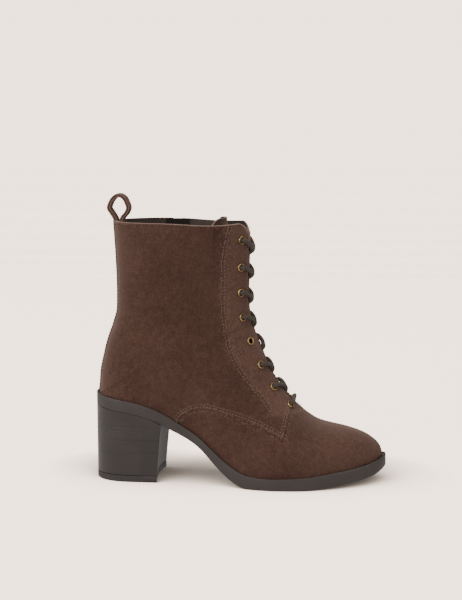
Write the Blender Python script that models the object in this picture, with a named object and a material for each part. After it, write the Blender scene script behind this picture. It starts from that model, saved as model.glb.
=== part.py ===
"""A right lace-up ankle boot with a block heel, a pull loop and a zip on the inner side.

Metres, +Z up. The toe points along +X, the inner side of the foot is +Y and the floor is z = 0.
Distances along the boot are counted from the back of the heel, and an empty then moves everything
so that the origin is on the floor at the middle of the heel's top piece.
"""

import math
from collections import Counter, namedtuple

import bmesh
import bpy
import numpy as np
from mathutils import Matrix, Vector

# Sole and heel
SOLE_LENGTH = 0.2490
BALL_WIDTH = 0.0860
SEAT_WIDTH = 0.0575
SEAT_HEIGHT = 0.0750  # floor to the sole's top edge at the back
SOLE_EDGE = 0.0100  # depth of the sole's side under the heel seat
TOE_SPRING = 0.0126
HEEL_ROUND = 0.0330  # how far forward the seat's round back reaches
TOE_ROUND = 0.0800
LIP_HEIGHT = 0.0012  # raised lip round the upper's foot
LIP_WIDTH = 0.0012
FEATHER_INSET = 0.0031  # from the sole's side to the upper
EDGE_ROUND = 0.0016
HEEL_LENGTH = 0.0555
HEEL_WIDTH = 0.0540
BREAST_LEAN = 0.0040  # the breast's top lies this much further forward
BREAST_HOLLOW = 0.0024
BREAST_POINTS = 5
TOP_PIECE = 0.0057

# Upper
BOOT_HEIGHT = 0.2215
ANKLE_WIDTH = 0.0620
SHAFT_WIDTH = 0.0760
HEEL_CURVE = 0.0174  # how far the ankle's back lies in front of the heel's
ANKLE_ROUND = 0.0340
COLLAR_ROUND = 0.0500
WALL = 0.0022
QUARTER_STEP = 0.0008  # the quarters lie this much proud of the vamp
COLLAR_DIP = 0.0020
CORNER_ROUND = 0.0090  # top corners of the lace facings
THROAT_GAP = 0.0070  # between the facings at the vamp
COLLAR_GAP = 0.0180

# Fittings
INSOLE = 0.0028
INSOLE_GAP = 0.0022  # beside the wall, which leans in over the insole
TONGUE = 0.0018
TONGUE_WIDTH = 0.0640
TONGUE_FOOT_WIDTH = 0.0480
TONGUE_FOOT = 0.0140  # how far the tongue reaches under the vamp
TONGUE_STAND = 0.0035  # above the collar
TONGUE_ROUND = 0.0160  # top corners
TONGUE_LEAN = 0.0160  # how far the top lies back from the facings
LEAN_LENGTH = 0.0700
STRAP_WIDTH = 0.0150
STRAP = 0.0007
LOOP_WIDTH = 0.0120
LOOP = 0.0036
LOOP_HEIGHT = 0.0230  # above the collar
LOOP_SPREAD = 0.0200
LOOP_LEG = 0.0120  # how far the inner leg reaches down from the collar
EYELETS = 8
EYELET_PITCH = 0.0212
EYELET_TOP = 0.0128  # collar to the first eyelet
EYELET_INSET = 0.0108  # facing's edge to an eyelet
EYELET_RADIUS = 0.0036
EYELET_HOLE = 0.0021
EYELET_BARREL = 0.0026
EYELET_RIM = 0.0009
FLANGE_GAP = 0.0005  # under a flat ring or a cord on the curved facing
LACE = 0.0036
LACE_SAG = 0.0008
LACE_PLAIN_ROW = 5  # at this eyelet the outer side's lace stays behind the facing
ZIP_ALONG = 0.0655
ZIP_FOOT = 0.0720
ZIP_SLOT = 0.0084
ZIP_TAPE_WIDTH = 0.0200
ZIP_TAPE = 0.0006
ZIP_CHAIN_WIDTH = 0.0050
ZIP_CHAIN = 0.0014
ZIP_STOP = 0.0040  # the chain ends this far below the collar
SLIDER_LENGTH = 0.0100
SLIDER_WIDTH = 0.0070
SLIDER = 0.0026
BRIDGE = 0.0010
BRIDGE_WIDTH = 0.0020
BRIDGE_GAP = 0.0026
PULL_LENGTH = 0.0260
PULL_WIDTH = 0.0060
PULL = 0.0014
PULL_WINDOW = 0.0050
CLEARANCE = 0.0003
BED_GAP = 0.0005  # on the sole's curved bed
LINING_GAP = 0.0009  # behind the wall, whose flat facets reach inwards
SHRINK = 0.0006  # the quarters' layer stops this far inside the upper's own edges

# A strand's way below its eyelet: rows down, arc from the throat's middle and height over the wall
LaceStep = namedtuple("LaceStep", "down arc out")

# The pull loop's middle line in the side view: shares of its spread forward of the wall's middle and
# of its height above the collar, from the outer leg's foot to where the inner leg enters the shaft
LoopLine = namedtuple("LoopLine", "along height")
LOOP_LINE = (
    LoopLine(-0.060, 0.014),
    LoopLine(-0.064, 0.060),
    LoopLine(-0.120, 0.140),
    LoopLine(-0.250, 0.303),
    LoopLine(-0.396, 0.500),
    LoopLine(-0.282, 0.761),
    LoopLine(-0.080, 0.945),
    LoopLine(0.147, 1.000),
    LoopLine(0.380, 0.908),
    LoopLine(0.534, 0.695),
    LoopLine(0.604, 0.492),
    LoopLine(0.503, 0.300),
    LoopLine(0.300, 0.110),
)

# Plan of the sole: half width as a share of the local width, centre line as a share of the ball's
Plan = namedtuple("Plan", "along half centre")
PLAN = (
    Plan(0.000, 0.500, 0.000),
    Plan(0.160, 0.500, 0.000),
    Plan(0.257, 0.467, -0.006),
    Plan(0.360, 0.372, -0.026),
    Plan(0.460, 0.372, -0.035),
    Plan(0.560, 0.458, -0.021),
    Plan(0.640, 0.496, -0.001),
    Plan(0.720, 0.500, 0.018),
    Plan(0.800, 0.500, 0.036),
    Plan(0.900, 0.500, 0.048),
    Plan(1.000, 0.500, 0.058),
)
PLAN_SEAT_END, PLAN_BALL_START = 0.22, 0.50
TOE_POINT, TOE_BLUNT = 1.7, 1.8
HEEL_BLUNT = 2.3

# Underside of the sole: rise as a share of the seat's underside, toe as a share of the toe spring,
# and the side's depth as a share of SOLE_EDGE
Under = namedtuple("Under", "along rise toe edge")
UNDER = (
    Under(0.000, 1.000, 0.00, 1.00),
    Under(0.080, 0.951, 0.00, 1.00),
    Under(0.140, 0.915, 0.00, 1.00),
    Under(0.205, 0.840, 0.00, 1.00),
    Under(0.257, 0.743, 0.00, 1.00),
    Under(0.310, 0.635, 0.00, 0.90),
    Under(0.345, 0.556, 0.00, 0.86),
    Under(0.380, 0.452, 0.00, 0.92),
    Under(0.415, 0.312, 0.00, 1.06),
    Under(0.450, 0.178, 0.00, 1.18),
    Under(0.485, 0.070, 0.00, 1.24),
    Under(0.515, 0.014, 0.00, 1.20),
    Under(0.535, 0.000, 0.00, 1.14),
    Under(0.600, 0.000, 0.00, 1.00),
    Under(0.735, 0.000, 0.00, 1.12),
    Under(0.783, 0.000, 0.07, 1.18),
    Under(0.831, 0.000, 0.18, 1.20),
    Under(0.884, 0.000, 0.33, 1.18),
    Under(0.932, 0.000, 0.50, 1.16),
    Under(0.964, 0.000, 0.66, 1.16),
    Under(1.000, 0.000, 1.00, 1.16),
)

# Back line of the upper: rise as a share of seat to collar, forward as a share of HEEL_CURVE
Back = namedtuple("Back", "rise forward")
BACK = (
    Back(0.000, 0.000),
    Back(0.040, 0.070),
    Back(0.125, 0.126),
    Back(0.220, 0.293),
    Back(0.317, 0.506),
    Back(0.413, 0.800),
    Back(0.505, 0.985),
    Back(0.620, 1.000),
    Back(0.790, 0.955),
    Back(1.000, 0.855),
)

# Front line of the upper from the toe to the collar, as shares of SOLE_LENGTH and BOOT_HEIGHT
Front = namedtuple("Front", "along height")
FRONT = (
    Front(0.9860, 0.122),
    Front(0.9765, 0.142),
    Front(0.9600, 0.160),
    Front(0.9360, 0.178),
    Front(0.9040, 0.193),
    Front(0.8550, 0.208),
    Front(0.8070, 0.2185),
    Front(0.7630, 0.233),
    Front(0.7270, 0.260),
    Front(0.6930, 0.294),
    Front(0.6650, 0.325),
    Front(0.6285, 0.377),
    Front(0.5940, 0.443),
    Front(0.5680, 0.519),
    Front(0.5460, 0.581),
    Front(0.5320, 0.642),
    Front(0.5275, 0.709),
    Front(0.5295, 0.813),
    Front(0.5320, 0.925),
    Front(0.5290, 1.000),
)

# Sections of the last, each a plane from the sole or the back line to the front line. foot is the
# share of SOLE_LENGTH where it starts, rise its share up the back line, and front the share of the
# front line where it ends. Its half width is made of shares of the sole's, the ankle's and the
# shaft's. widest is where it is widest and round how full it is towards the front line.
Section = namedtuple("Section", "foot rise front sole ankle shaft widest round shift")
SECTIONS = (
    Section(1.000, 0.00, None, 1.00, 0.00, 0.00, 0.10, 2.00, 0.058),
    Section(0.900, 0.00, None, 1.02, 0.00, 0.00, 0.14, 2.15, 0.052),
    Section(0.765, 0.00, None, 1.06, 0.00, 0.00, 0.20, 2.05, 0.048),
    Section(0.633, 0.00, 0.365, 1.08, 0.00, 0.00, 0.20, 1.95, 0.040),
    Section(0.500, 0.00, 0.455, 0.70, 0.42, 0.00, 0.22, 1.95, 0.032),
    Section(0.350, 0.00, 0.552, 0.10, 0.92, 0.00, 0.35, 2.00, 0.020),
    Section(0.200, 0.00, 0.640, 0.00, 1.00, 0.00, 0.48, 2.00, 0.010),
    Section(0.080, 0.00, 0.705, 0.00, 1.00, 0.00, 0.50, 2.05, 0.005),
    Section(0.000, 0.00, 0.755, 0.00, 1.00, 0.00, 0.50, 2.10, 0.000),
    Section(0.000, 0.15, 0.805, 0.00, 0.99, 0.00, 0.50, 2.10, 0.000),
    Section(0.000, 0.35, 0.868, 0.00, 0.92, 0.08, 0.50, 2.10, 0.000),
    Section(0.000, 0.60, 0.932, 0.00, 0.42, 0.55, 0.50, 2.15, 0.000),
    Section(0.000, 1.00, 1.000, 0.00, 0.00, 1.00, 0.50, 2.20, 0.000),
)
FOOT_BLEND = 0.45  # over this share of a section, the foot's own width gives way to the last's
FAN_START = 0.765  # sections nearer the toe than this stand upright
THROAT = 0.633

# Lower edge of the quarters seen from the side, from the sole to the throat, as shares of
# SOLE_LENGTH and BOOT_HEIGHT
Seam = namedtuple("Seam", "along height")
SEAM = (
    Seam(0.285, 0.190),
    Seam(0.300, 0.250),
    Seam(0.331, 0.280),
    Seam(0.365, 0.294),
    Seam(0.401, 0.2965),
    Seam(0.452, 0.283),
    Seam(0.530, 0.255),
    Seam(0.614, 0.213),
    Seam(0.657, 0.189),
)
SEAM_TOP = Seam(0.684, 0.345)

# Places of the wall's columns between the throat (0) and the foot or the back seam (1)
COLUMN_SHARES = (0, 0.020, 0.060, 0.140, 0.250, 0.370, 0.490, 0.610, 0.720, 0.820, 0.900, 0.960, 1)
FOOT_ROWS = 24
BACK_ROWS = 12
FINE_ROWS = 110
FINE_SAMPLES = 90
EYELET_SIDES = 8
LACE_SIDES = 6
ZIP_ROWS = 9
STATIONS = 44
TONGUE_ROWS = 13
TONGUE_TOP_ROWS = np.array([0.55, 0.25, 0.08, 0.0])  # shares of TONGUE_ROUND
TONGUE_TAPER = 0.5  # of the width, at the very top
DIP_START = 1.8  # sections above this one give way to the collar's dip
DIP_PLACE, DIP_REACH = 0.30, 0.18  # shares of the way from the front line to the back seam


def clear_scene():
    for obj in list(bpy.data.objects):
        bpy.data.objects.remove(obj)


def through(rows, key, value, at):
    """A smooth curve through a table's points, without overshoot."""
    x = np.array([getattr(row, key) for row in rows], float)
    y = np.array([getattr(row, value) for row in rows], float)
    step, rise = np.diff(x), np.diff(y)
    slope = rise / step
    tangent = np.zeros(len(x))
    tangent[0], tangent[-1] = slope[0], slope[-1]
    same = slope[:-1] * slope[1:] > 0
    inner = np.where(same, 2 * slope[:-1] * slope[1:] / np.where(same, slope[:-1] + slope[1:], 1), 0)
    tangent[1:-1] = inner
    at = np.clip(np.asarray(at, float), x[0], x[-1])
    i = np.clip(np.searchsorted(x, at, side="right") - 1, 0, len(x) - 2)
    t = (at - x[i]) / step[i]
    return (
        y[i] * (1 + 2 * t) * (1 - t) ** 2
        + y[i + 1] * t**2 * (3 - 2 * t)
        + step[i] * (tangent[i] * t * (1 - t) ** 2 - tangent[i + 1] * t**2 * (1 - t))
    )


def smooth(t):
    t = np.clip(t, 0, 1)
    return t * t * (3 - 2 * t)


def bulge(t, power):
    """Half of a superellipse: 0 at t = 0, 1 from t = 1 on, with a round start."""
    t = np.clip(t, 0, 1)
    return (1 - (1 - t) ** power) ** (1 / power)


def eased(count):
    """Shares from 0 to 1 that lie close together at both ends."""
    return (1 - np.cos(np.linspace(0, math.pi, count + 1))) / 2


def path_lengths(points):
    steps = np.linalg.norm(np.diff(points, axis=0), axis=1)
    return np.concatenate([[0], np.cumsum(steps)])


def along_path(points, distances):
    """Points at these distances along a polyline."""
    lengths = path_lengths(points)
    return np.stack([np.interp(distances, lengths, points[:, i]) for i in range(points.shape[1])], 1)


def smooth_path(points, per_step=8):
    """A Catmull-Rom curve through the points."""
    p = np.asarray(points, float)
    p = np.concatenate([[2 * p[0] - p[1]], p, [2 * p[-1] - p[-2]]])
    t = np.linspace(0, 1, per_step, endpoint=False)[:, None]
    out = []
    for a, b, c, d in zip(p[:-3], p[1:-2], p[2:-1], p[3:]):
        slope, bend, twist = c - a, 2 * a - 5 * b + 4 * c - d, 3 * b - a - 3 * c + d
        out.append(0.5 * (2 * b + slope * t + bend * t**2 + twist * t**3))
    return np.concatenate([*out, [p[-2]]])


# The sole's own lines


def sole_under(x):
    along = np.asarray(x) / SOLE_LENGTH
    waist = through(UNDER, "along", "rise", along) * (SEAT_HEIGHT - SOLE_EDGE)
    return waist + through(UNDER, "along", "toe", along) * TOE_SPRING


def sole_top(x):
    return sole_under(x) + through(UNDER, "along", "edge", np.asarray(x) / SOLE_LENGTH) * SOLE_EDGE


def sole_bed(x):
    """Floor of the recess that the upper and the insole stand in."""
    return sole_top(x) - LIP_HEIGHT


def sole_half(x):
    along = np.asarray(x) / SOLE_LENGTH
    to_ball = smooth((along - PLAN_SEAT_END) / (PLAN_BALL_START - PLAN_SEAT_END))
    width = SEAT_WIDTH + (BALL_WIDTH - SEAT_WIDTH) * to_ball
    toe = np.clip((x - (SOLE_LENGTH - TOE_ROUND)) / TOE_ROUND, 0, 1)
    ends = bulge(x / HEEL_ROUND, HEEL_BLUNT) * (1 - toe**TOE_POINT) ** (1 / TOE_BLUNT)
    return width * through(PLAN, "along", "half", along) * ends


def sole_centre(x):
    return BALL_WIDTH * through(PLAN, "along", "centre", np.asarray(x) / SOLE_LENGTH)


def inset_ring(x, outer, inner, inset):
    """The closed plan through stations x, moved inwards. It runs from the back along the outer side
    to the front, and back along the inner side."""
    ring = np.concatenate([np.stack([x, outer], 1), np.stack([x, inner], 1)[-2:0:-1]])
    ahead, behind = np.roll(ring, -1, 0), np.roll(ring, 1, 0)
    run = ahead - behind
    run /= np.linalg.norm(run, axis=1)[:, None]
    return ring + inset * np.stack([-run[:, 1], run[:, 0]], 1)


def sole_ring(inset=0.0, stations=STATIONS):
    x = SOLE_LENGTH * eased(stations)
    return inset_ring(x, sole_centre(x) - sole_half(x), sole_centre(x) + sole_half(x), inset)


# The upper's own surface


def back_line(z):
    bed = sole_bed(0.0)
    rise = (np.asarray(z) - bed) / (BOOT_HEIGHT - bed)
    return FEATHER_INSET + HEEL_CURVE * through(BACK, "rise", "forward", rise)


def front_path():
    tip_x = SOLE_LENGTH - FEATHER_INSET
    tip = (tip_x, float(sole_bed(tip_x)) + BED_GAP)
    rows = [(row.along * SOLE_LENGTH, row.height * BOOT_HEIGHT) for row in FRONT]
    return smooth_path([tip, *rows])


def feather():
    """The upper's foot in plan: stations along the boot with the half width and the centre."""
    ring = sole_ring(FEATHER_INSET, 160)
    middle = len(ring) // 2
    outer, inner = ring[: middle + 1], np.concatenate([ring[:1], ring[: middle - 1 : -1]])
    x = ring[0, 0] + (ring[middle, 0] - ring[0, 0]) * eased(400)
    low, high = np.interp(x, outer[:, 0], outer[:, 1]), np.interp(x, inner[:, 0], inner[:, 1])
    return x, (high - low) / 2, (high + low) / 2


Keyed = namedtuple("Keyed", "key value")


def by_key(name, key):
    """A value of the sections' table at a key: 0 at the toe, 1 at the heel and 2 at the collar."""
    rows = [Keyed(1 - row.foot + row.rise, getattr(row, name)) for row in SECTIONS]
    return float(through(rows, "key", "value", key))


class Last:
    """The upper's outer surface, sampled once. key runs from the toe (0) over the heel (1) to the
    collar (2), and arc is the distance from the front line, negative on the outer side."""

    def __init__(self):
        self.front = front_path()
        self.front_lengths = path_lengths(self.front)
        self.feather = feather()
        self.keys = np.concatenate([self.even_keys(0, 1, FINE_ROWS)[:-1], self.even_keys(1, 2, FINE_ROWS)])
        self.points = np.array([self.section(key) for key in self.keys])
        self.arcs = np.array([self.arc_lengths(row) for row in self.points])
        self.normals = self.sample_normals()

    def start(self, key):
        """Where a section starts, in the side view."""
        x, _, _ = self.feather
        if key <= 1:
            foot = x[-1] + (x[0] - x[-1]) * key
            return foot, float(sole_bed(foot)) + BED_GAP
        bed = float(sole_bed(x[0])) + BED_GAP
        z = bed + (BOOT_HEIGHT - bed) * (key - 1)
        return float(back_line(z)), z

    def above(self, x):
        """The distance along the front line of its point straight above x, in the toe and vamp."""
        top = int(np.argmin(self.front[:, 0]))
        return float(np.interp(-x, -self.front[:top, 0], self.front_lengths[:top]))

    def end(self, key):
        """How far along the front line a section ends."""
        straight = 1 - FAN_START
        if key <= straight:
            return self.above(self.start(key)[0])
        total = self.front_lengths[-1]
        rows = [Keyed(straight, self.above(self.start(straight)[0]) / total)]
        rows += [Keyed(1 - row.foot + row.rise, row.front) for row in SECTIONS if row.front is not None]
        return float(through(rows, "key", "value", key)) * total

    def on_front(self, distance):
        return along_path(self.front, np.array([distance]))[0]

    def section(self, key):
        """Points from the outer side's foot over the front line to the inner side's."""
        (x0, z0), (x1, z1) = self.start(key), self.on_front(self.end(key))
        s = eased(FINE_SAMPLES)
        x, z = x0 + (x1 - x0) * s, z0 + (z1 - z0) * s
        stations, halves, centres = self.feather
        foot_half = float(np.interp(x0, stations, halves)) if key < 1 else 0.0
        foot_centre = float(np.interp(x0, stations, centres)) if key < 1 else 0.0
        local = float(np.interp(max(x0, HEEL_ROUND), stations, halves))
        half = by_key("sole", key) * local
        half += (by_key("ankle", key) * ANKLE_WIDTH + by_key("shaft", key) * SHAFT_WIDTH) / 2
        rise = np.clip((z - SEAT_HEIGHT) / (BOOT_HEIGHT - SEAT_HEIGHT), 0, 1)
        reach = ANKLE_ROUND + (COLLAR_ROUND - ANKLE_ROUND) * rise
        widest = by_key("widest", key)
        front = np.clip((s - widest) / (1 - widest), 0, 1)
        power = by_key("round", key)
        rounding = (1 - front**power) ** (1 / power)
        half = half * bulge((x - back_line(z)) / reach, HEEL_BLUNT) * rounding
        half += (foot_half - half[0]) * (1 - smooth(s / FOOT_BLEND)) * rounding
        centre = foot_centre + (by_key("shift", key) * BALL_WIDTH - foot_centre) * s
        outer = np.stack([x, centre - half, z], 1)
        inner = np.stack([x, centre + half, z], 1)[-2::-1]
        return np.concatenate([outer, inner])

    def arc_lengths(self, points):
        lengths = path_lengths(points)
        return lengths - lengths[FINE_SAMPLES]

    def even_keys(self, first, last, count):
        """Keys that lie evenly along the upper's foot or up its back line."""
        trial = first + (last - first) * eased(400)
        stations, halves, _ = self.feather
        starts = np.array([self.start(key) for key in trial])
        side = np.where(trial < 1, np.interp(starts[:, 0], stations, halves), 0)
        lengths = path_lengths(np.stack([starts[:, 0], side, starts[:, 1]], 1))
        return np.interp(np.linspace(0, lengths[-1], count + 1), lengths, trial)

    def sample_normals(self):
        across = np.gradient(self.points, axis=1)
        along = np.gradient(self.points, axis=0)
        normal = np.cross(across, along)
        normal[0] = normal[1].mean(0)
        behind = self.keys >= 1
        seam = (normal[behind, 0] + normal[behind, -1]) * (1, 0, 1)
        normal[behind, 0] = normal[behind, -1] = seam
        return normal / np.maximum(np.linalg.norm(normal, axis=2, keepdims=True), 1e-15)

    def limits(self, key):
        """The arcs of the outer and the inner foot, or of the back seam."""
        return [float(np.interp(key, self.keys, self.arcs[:, end])) for end in (0, -1)]

    def at(self, key, arc, out=0.0):
        """The surface's point there, moved outwards."""
        i = int(np.clip(np.searchsorted(self.keys, key) - 1, 0, len(self.keys) - 2))
        t = (key - self.keys[i]) / (self.keys[i + 1] - self.keys[i])
        both = np.zeros(6)
        for row, share in ((i, 1 - t), (i + 1, t)):
            columns = np.concatenate([self.points[row], self.normals[row]], 1)
            both += share * np.array([np.interp(arc, self.arcs[row], column) for column in columns.T])
        return both[:3] + out * both[3:] / max(np.linalg.norm(both[3:]), 1e-9)

    def normal(self, key, arc):
        return self.at(key, arc, 1.0) - self.at(key, arc)

    def locate(self, x, z, inner_side=True):
        """The key and the arc of a point of one side, given where it is in the side view."""

        def beside(key):
            (x0, z0), (x1, z1) = self.start(key), self.on_front(self.end(key))
            return (x1 - x0) * (z - z0) - (z1 - z0) * (x - x0)

        low, high = 1 - FAN_START, 2.0
        for _ in range(40):
            middle = (low + high) / 2
            low, high = (middle, high) if beside(middle) > 0 else (low, middle)
        key = (low + high) / 2
        (x0, z0), (x1, z1) = self.start(key), self.on_front(self.end(key))
        share = math.hypot(x - x0, z - z0) / math.hypot(x1 - x0, z1 - z0)
        arcs = [float(np.interp(key, self.keys, column)) for column in self.arcs.T]
        sample = float(np.interp(share, eased(FINE_SAMPLES), np.arange(FINE_SAMPLES + 1)))
        if inner_side:
            sample = 2 * FINE_SAMPLES - sample
        return key, float(np.interp(sample, np.arange(len(arcs)), arcs))


LAST = Last()


THROAT_KEY = 1 - THROAT
FRONT_KEYS = np.linspace(1 - FAN_START, 2, 300)
FRONT_ENDS = np.array([LAST.end(key) for key in FRONT_KEYS])


def key_below_collar(distance):
    """The key of the section that ends this far below the collar along the front line."""
    return float(np.interp(LAST.front_lengths[-1] - distance, FRONT_ENDS, FRONT_KEYS))


def half_gap(key):
    """Half of the open throat between the facings."""
    share = smooth((key - THROAT_KEY) / (2 - THROAT_KEY))
    return (THROAT_GAP + (COLLAR_GAP - THROAT_GAP) * share) / 2


def collar_drop(key, arc):
    """How far the wall near the top edge is drawn down into the collar's shallow dip."""
    lowest, highest = LAST.limits(2.0)
    share = abs(arc) / max(-lowest, highest)
    dip = COLLAR_DIP * math.exp(-(((share - DIP_PLACE) / DIP_REACH) ** 2))
    return dip * max(0.0, (key - DIP_START) / (2 - DIP_START)) ** 2


def wall_point(key, arc, out=0.0):
    return LAST.at(key, arc, out) - np.array([0, 0, collar_drop(key, arc)])


# Meshes


def new_object(name, mesh, material, parent):
    obj = bpy.data.objects.new(name, mesh)
    bpy.context.scene.collection.objects.link(obj)
    obj.parent = parent
    if material:
        mesh.materials.append(material)
    return obj


def helper(obj):
    obj.hide_render = True
    obj.display_type = "WIRE"
    return obj


def mesh_from(name, points, faces, smooth_below=35):
    """A mesh whose doubled points are merged and whose faces all face outwards."""
    mesh = bpy.data.meshes.new(name)
    mesh.from_pydata([tuple(map(float, p)) for p in points], [], faces)
    work = bmesh.new()
    work.from_mesh(mesh)
    bmesh.ops.remove_doubles(work, verts=work.verts, dist=1e-6)
    bmesh.ops.recalc_face_normals(work, faces=work.faces)
    if work.calc_volume(signed=True) < 0:
        bmesh.ops.reverse_faces(work, faces=work.faces)
    work.to_mesh(mesh)
    work.free()
    mesh.shade_smooth()
    mesh.set_sharp_from_angle(angle=math.radians(smooth_below))
    return mesh


def distinct(face):
    return tuple(dict.fromkeys(face))


def loft(name, rings, material, parent, hollow_end=0):
    """A solid through closed rings of equal length. The first and last are closed by strips from
    side to side, so that they may curve along the boot. A hollow far end, with so many points on
    each side, is closed by one face."""
    count = len(rings[0])
    strips = count // 2 - hollow_end
    faces = []
    for k in range(len(rings) - 1):
        for i in range(count):
            j = (i + 1) % count
            faces.append((k * count + i, k * count + j, (k + 1) * count + j, (k + 1) * count + i))
    for start in (0, (len(rings) - 1) * count):
        for i in range(strips):
            faces.append(tuple(start + k % count for k in (i, i + 1, count - i - 1, count - i)))
        if hollow_end:
            faces.append(tuple(start + k for k in range(strips, count - strips + 1)))
    faces = [distinct(face) for face in faces]
    mesh = mesh_from(name, np.concatenate(rings), [face for face in faces if len(face) > 2])
    return new_object(name, mesh, material, parent)


def lifted(ring, height):
    """A plan ring raised to a height that follows its distance along the boot."""
    return np.column_stack([ring, height(ring[:, 0])])


def shell(name, outer, inner, material, parent, open_cells=()):
    """A closed wall between two grids of points, of which some cells may stay open. Each cell is
    split along its shorter diagonal, so that two layers of one surface stay parallel."""
    points, numbers, faces, edges, twins = [], {}, [], Counter(), {}

    def number(point):
        place = tuple(np.round(np.asarray(point) * 1e6).astype(int))
        if place not in numbers:
            numbers[place] = len(points)
            points.append(point)
        return numbers[place]

    outside = [[number(point) for point in row] for row in outer]
    inside = [[number(point) for point in row] for row in inner]
    for i in range(len(outer) - 1):
        for j in range(len(outer[0]) - 1):
            if (i, j) in open_cells:
                continue
            cell = ((i, j), (i, j + 1), (i + 1, j + 1), (i + 1, j))
            corner = [np.asarray(outer[a][b]) for a, b in cell]
            other_way = np.linalg.norm(corner[0] - corner[2]) > np.linalg.norm(corner[1] - corner[3])
            halves = ((0, 1, 3), (1, 2, 3)) if other_way else ((0, 1, 2), (0, 2, 3))
            twins.update((outside[a][b], inside[a][b]) for a, b in cell)
            for half in halves:
                face = distinct(outside[cell[k][0]][cell[k][1]] for k in half)
                back = distinct(inside[cell[k][0]][cell[k][1]] for k in half)
                faces += [loop for loop in (face, back[::-1]) if len(loop) > 2]
                if len(face) > 2:
                    edges.update(frozenset(pair) for pair in zip(face, face[1:] + face[:1]))
    for edge, uses in edges.items():
        if uses == 1:
            a, b = edge
            faces.append((a, b, twins[b], twins[a]))
    return new_object(name, mesh_from(name, points, faces), material, parent)


def boolean(obj, other, operation, name):
    cut = obj.modifiers.new(name, "BOOLEAN")
    cut.operation = operation
    cut.object = other
    cut.solver = "EXACT"
    return obj


def place_on(point, normal):
    """A place whose local Z is the normal and whose local Y leans upwards."""
    z = Vector(normal).normalized()
    x = Vector((0, 0, 1)).cross(z).normalized()
    y = z.cross(x)
    return Matrix.Translation(Vector(point)) @ Matrix((x, y, z)).transposed().to_4x4()


def turned(name, profile, steps, place, material, parent):
    """A ring turned from a closed profile of (radius, height), standing on place's local Z."""
    points, faces = [], []
    count = len(profile)
    for i in range(steps):
        angle = 2 * math.pi * i / steps
        for radius, height in profile:
            points.append(place @ Vector((radius * math.cos(angle), radius * math.sin(angle), height)))
    for i in range(steps):
        for j in range(count):
            a, b = i * count + j, i * count + (j + 1) % count
            c, d = (i + 1) % steps * count + (j + 1) % count, (i + 1) % steps * count + j
            faces.append((a, b, c, d))
    return new_object(name, mesh_from(name, points, faces), material, parent)


def prism(name, outline, low, high, parent, material=None):
    """An outline in the side view, (x, z), carried across from y = low to y = high."""
    count = len(outline)
    points = [(x, y, z) for y in (low, high) for x, z in outline]
    faces = [tuple(range(count)), tuple(range(2 * count - 1, count - 1, -1))]
    faces += [(i, (i + 1) % count, count + (i + 1) % count, count + i) for i in range(count)]
    return new_object(name, mesh_from(name, points, faces), material, parent)


def box(name, low, high, parent, material=None):
    return prism(
        name,
        [(low[0], low[2]), (high[0], low[2]), (high[0], high[2]), (low[0], high[2])],
        low[1],
        high[1],
        parent,
        material,
    )


def tube(name, path, radius, sides, material, parent):
    """A round cord along a path, with flat ends."""
    path = np.asarray(path)
    run = np.gradient(path, axis=0)
    run /= np.linalg.norm(run, axis=1)[:, None]
    side = np.cross(run[0], (0, 0, 1))
    points, faces = [], []
    for centre, ahead in zip(path, run):
        side -= ahead * side.dot(ahead)
        side /= np.linalg.norm(side)
        other = np.cross(ahead, side)
        for i in range(sides):
            angle = 2 * math.pi * i / sides
            points.append(centre + radius * (side * math.cos(angle) + other * math.sin(angle)))
    for k in range(len(path) - 1):
        for i in range(sides):
            j = (i + 1) % sides
            faces.append((k * sides + i, k * sides + j, (k + 1) * sides + j, (k + 1) * sides + i))
    faces += [tuple(range(sides)), tuple(range((len(path) - 1) * sides, len(path) * sides))]
    return new_object(name, mesh_from(name, points, faces), material, parent)


def material(name, colour, roughness, metallic=0.0):
    made = bpy.data.materials.new(name)
    made.use_nodes = True
    shader = made.node_tree.nodes["Principled BSDF"]
    shader.inputs["Base Color"].default_value = (*colour, 1)
    shader.inputs["Roughness"].default_value = roughness
    shader.inputs["Metallic"].default_value = metallic
    return made


# Sole and heel


def make_outsole(finish, parent):
    half_round = EDGE_ROUND / 2
    rings = [
        lifted(sole_ring(EDGE_ROUND), sole_under),
        lifted(sole_ring(), lambda x: sole_under(x) + EDGE_ROUND),
        lifted(sole_ring(), lambda x: sole_top(x) - half_round),
        lifted(sole_ring(min(half_round, LIP_WIDTH / 2)), sole_top),
        lifted(sole_ring(LIP_WIDTH), sole_top),
        lifted(sole_ring(LIP_WIDTH), sole_bed),
    ]
    return loft("outsole", rings, finish, parent)


def heel_ring(length, width):
    """The heel's plan: a round back, straight sides and a hollow breast."""
    x = length * eased(9)
    half = width / 2 * bulge(x / HEEL_ROUND, HEEL_BLUNT)
    outer = np.stack([x, -half], 1)
    across = np.linspace(-1, 1, BREAST_POINTS + 2)[1:-1]
    breast = np.stack([length - BREAST_HOLLOW * (1 - across**2), across * half[-1]], 1)
    return np.concatenate([outer, breast, (outer * (1, -1))[:0:-1]])


def make_heel(finish, parent):
    foot = TOP_PIECE + CLEARANCE
    top = (HEEL_LENGTH + BREAST_LEAN, SEAT_WIDTH)
    rings = [
        lifted(heel_ring(HEEL_LENGTH, HEEL_WIDTH), lambda x: np.full(len(x), foot)),
        lifted(heel_ring(*top), lambda x: sole_under(x) - CLEARANCE),
    ]
    return loft("heel_block", rings, finish, parent, BREAST_POINTS)


def make_top_piece(finish, parent):
    ring = heel_ring(HEEL_LENGTH, HEEL_WIDTH)
    rings = [lifted(ring, lambda x, z=z: np.full(len(x), z)) for z in (0.0, TOP_PIECE)]
    return loft("heel_top_piece", rings, finish, parent, BREAST_POINTS)


def make_insole(finish, parent):
    ring = sole_ring(FEATHER_INSET + WALL + INSOLE_GAP)
    rings = [
        lifted(ring, lambda x: sole_bed(x) + BED_GAP),
        lifted(ring, lambda x: sole_bed(x) + BED_GAP + INSOLE),
    ]
    return loft("insole", rings, finish, parent)


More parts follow.
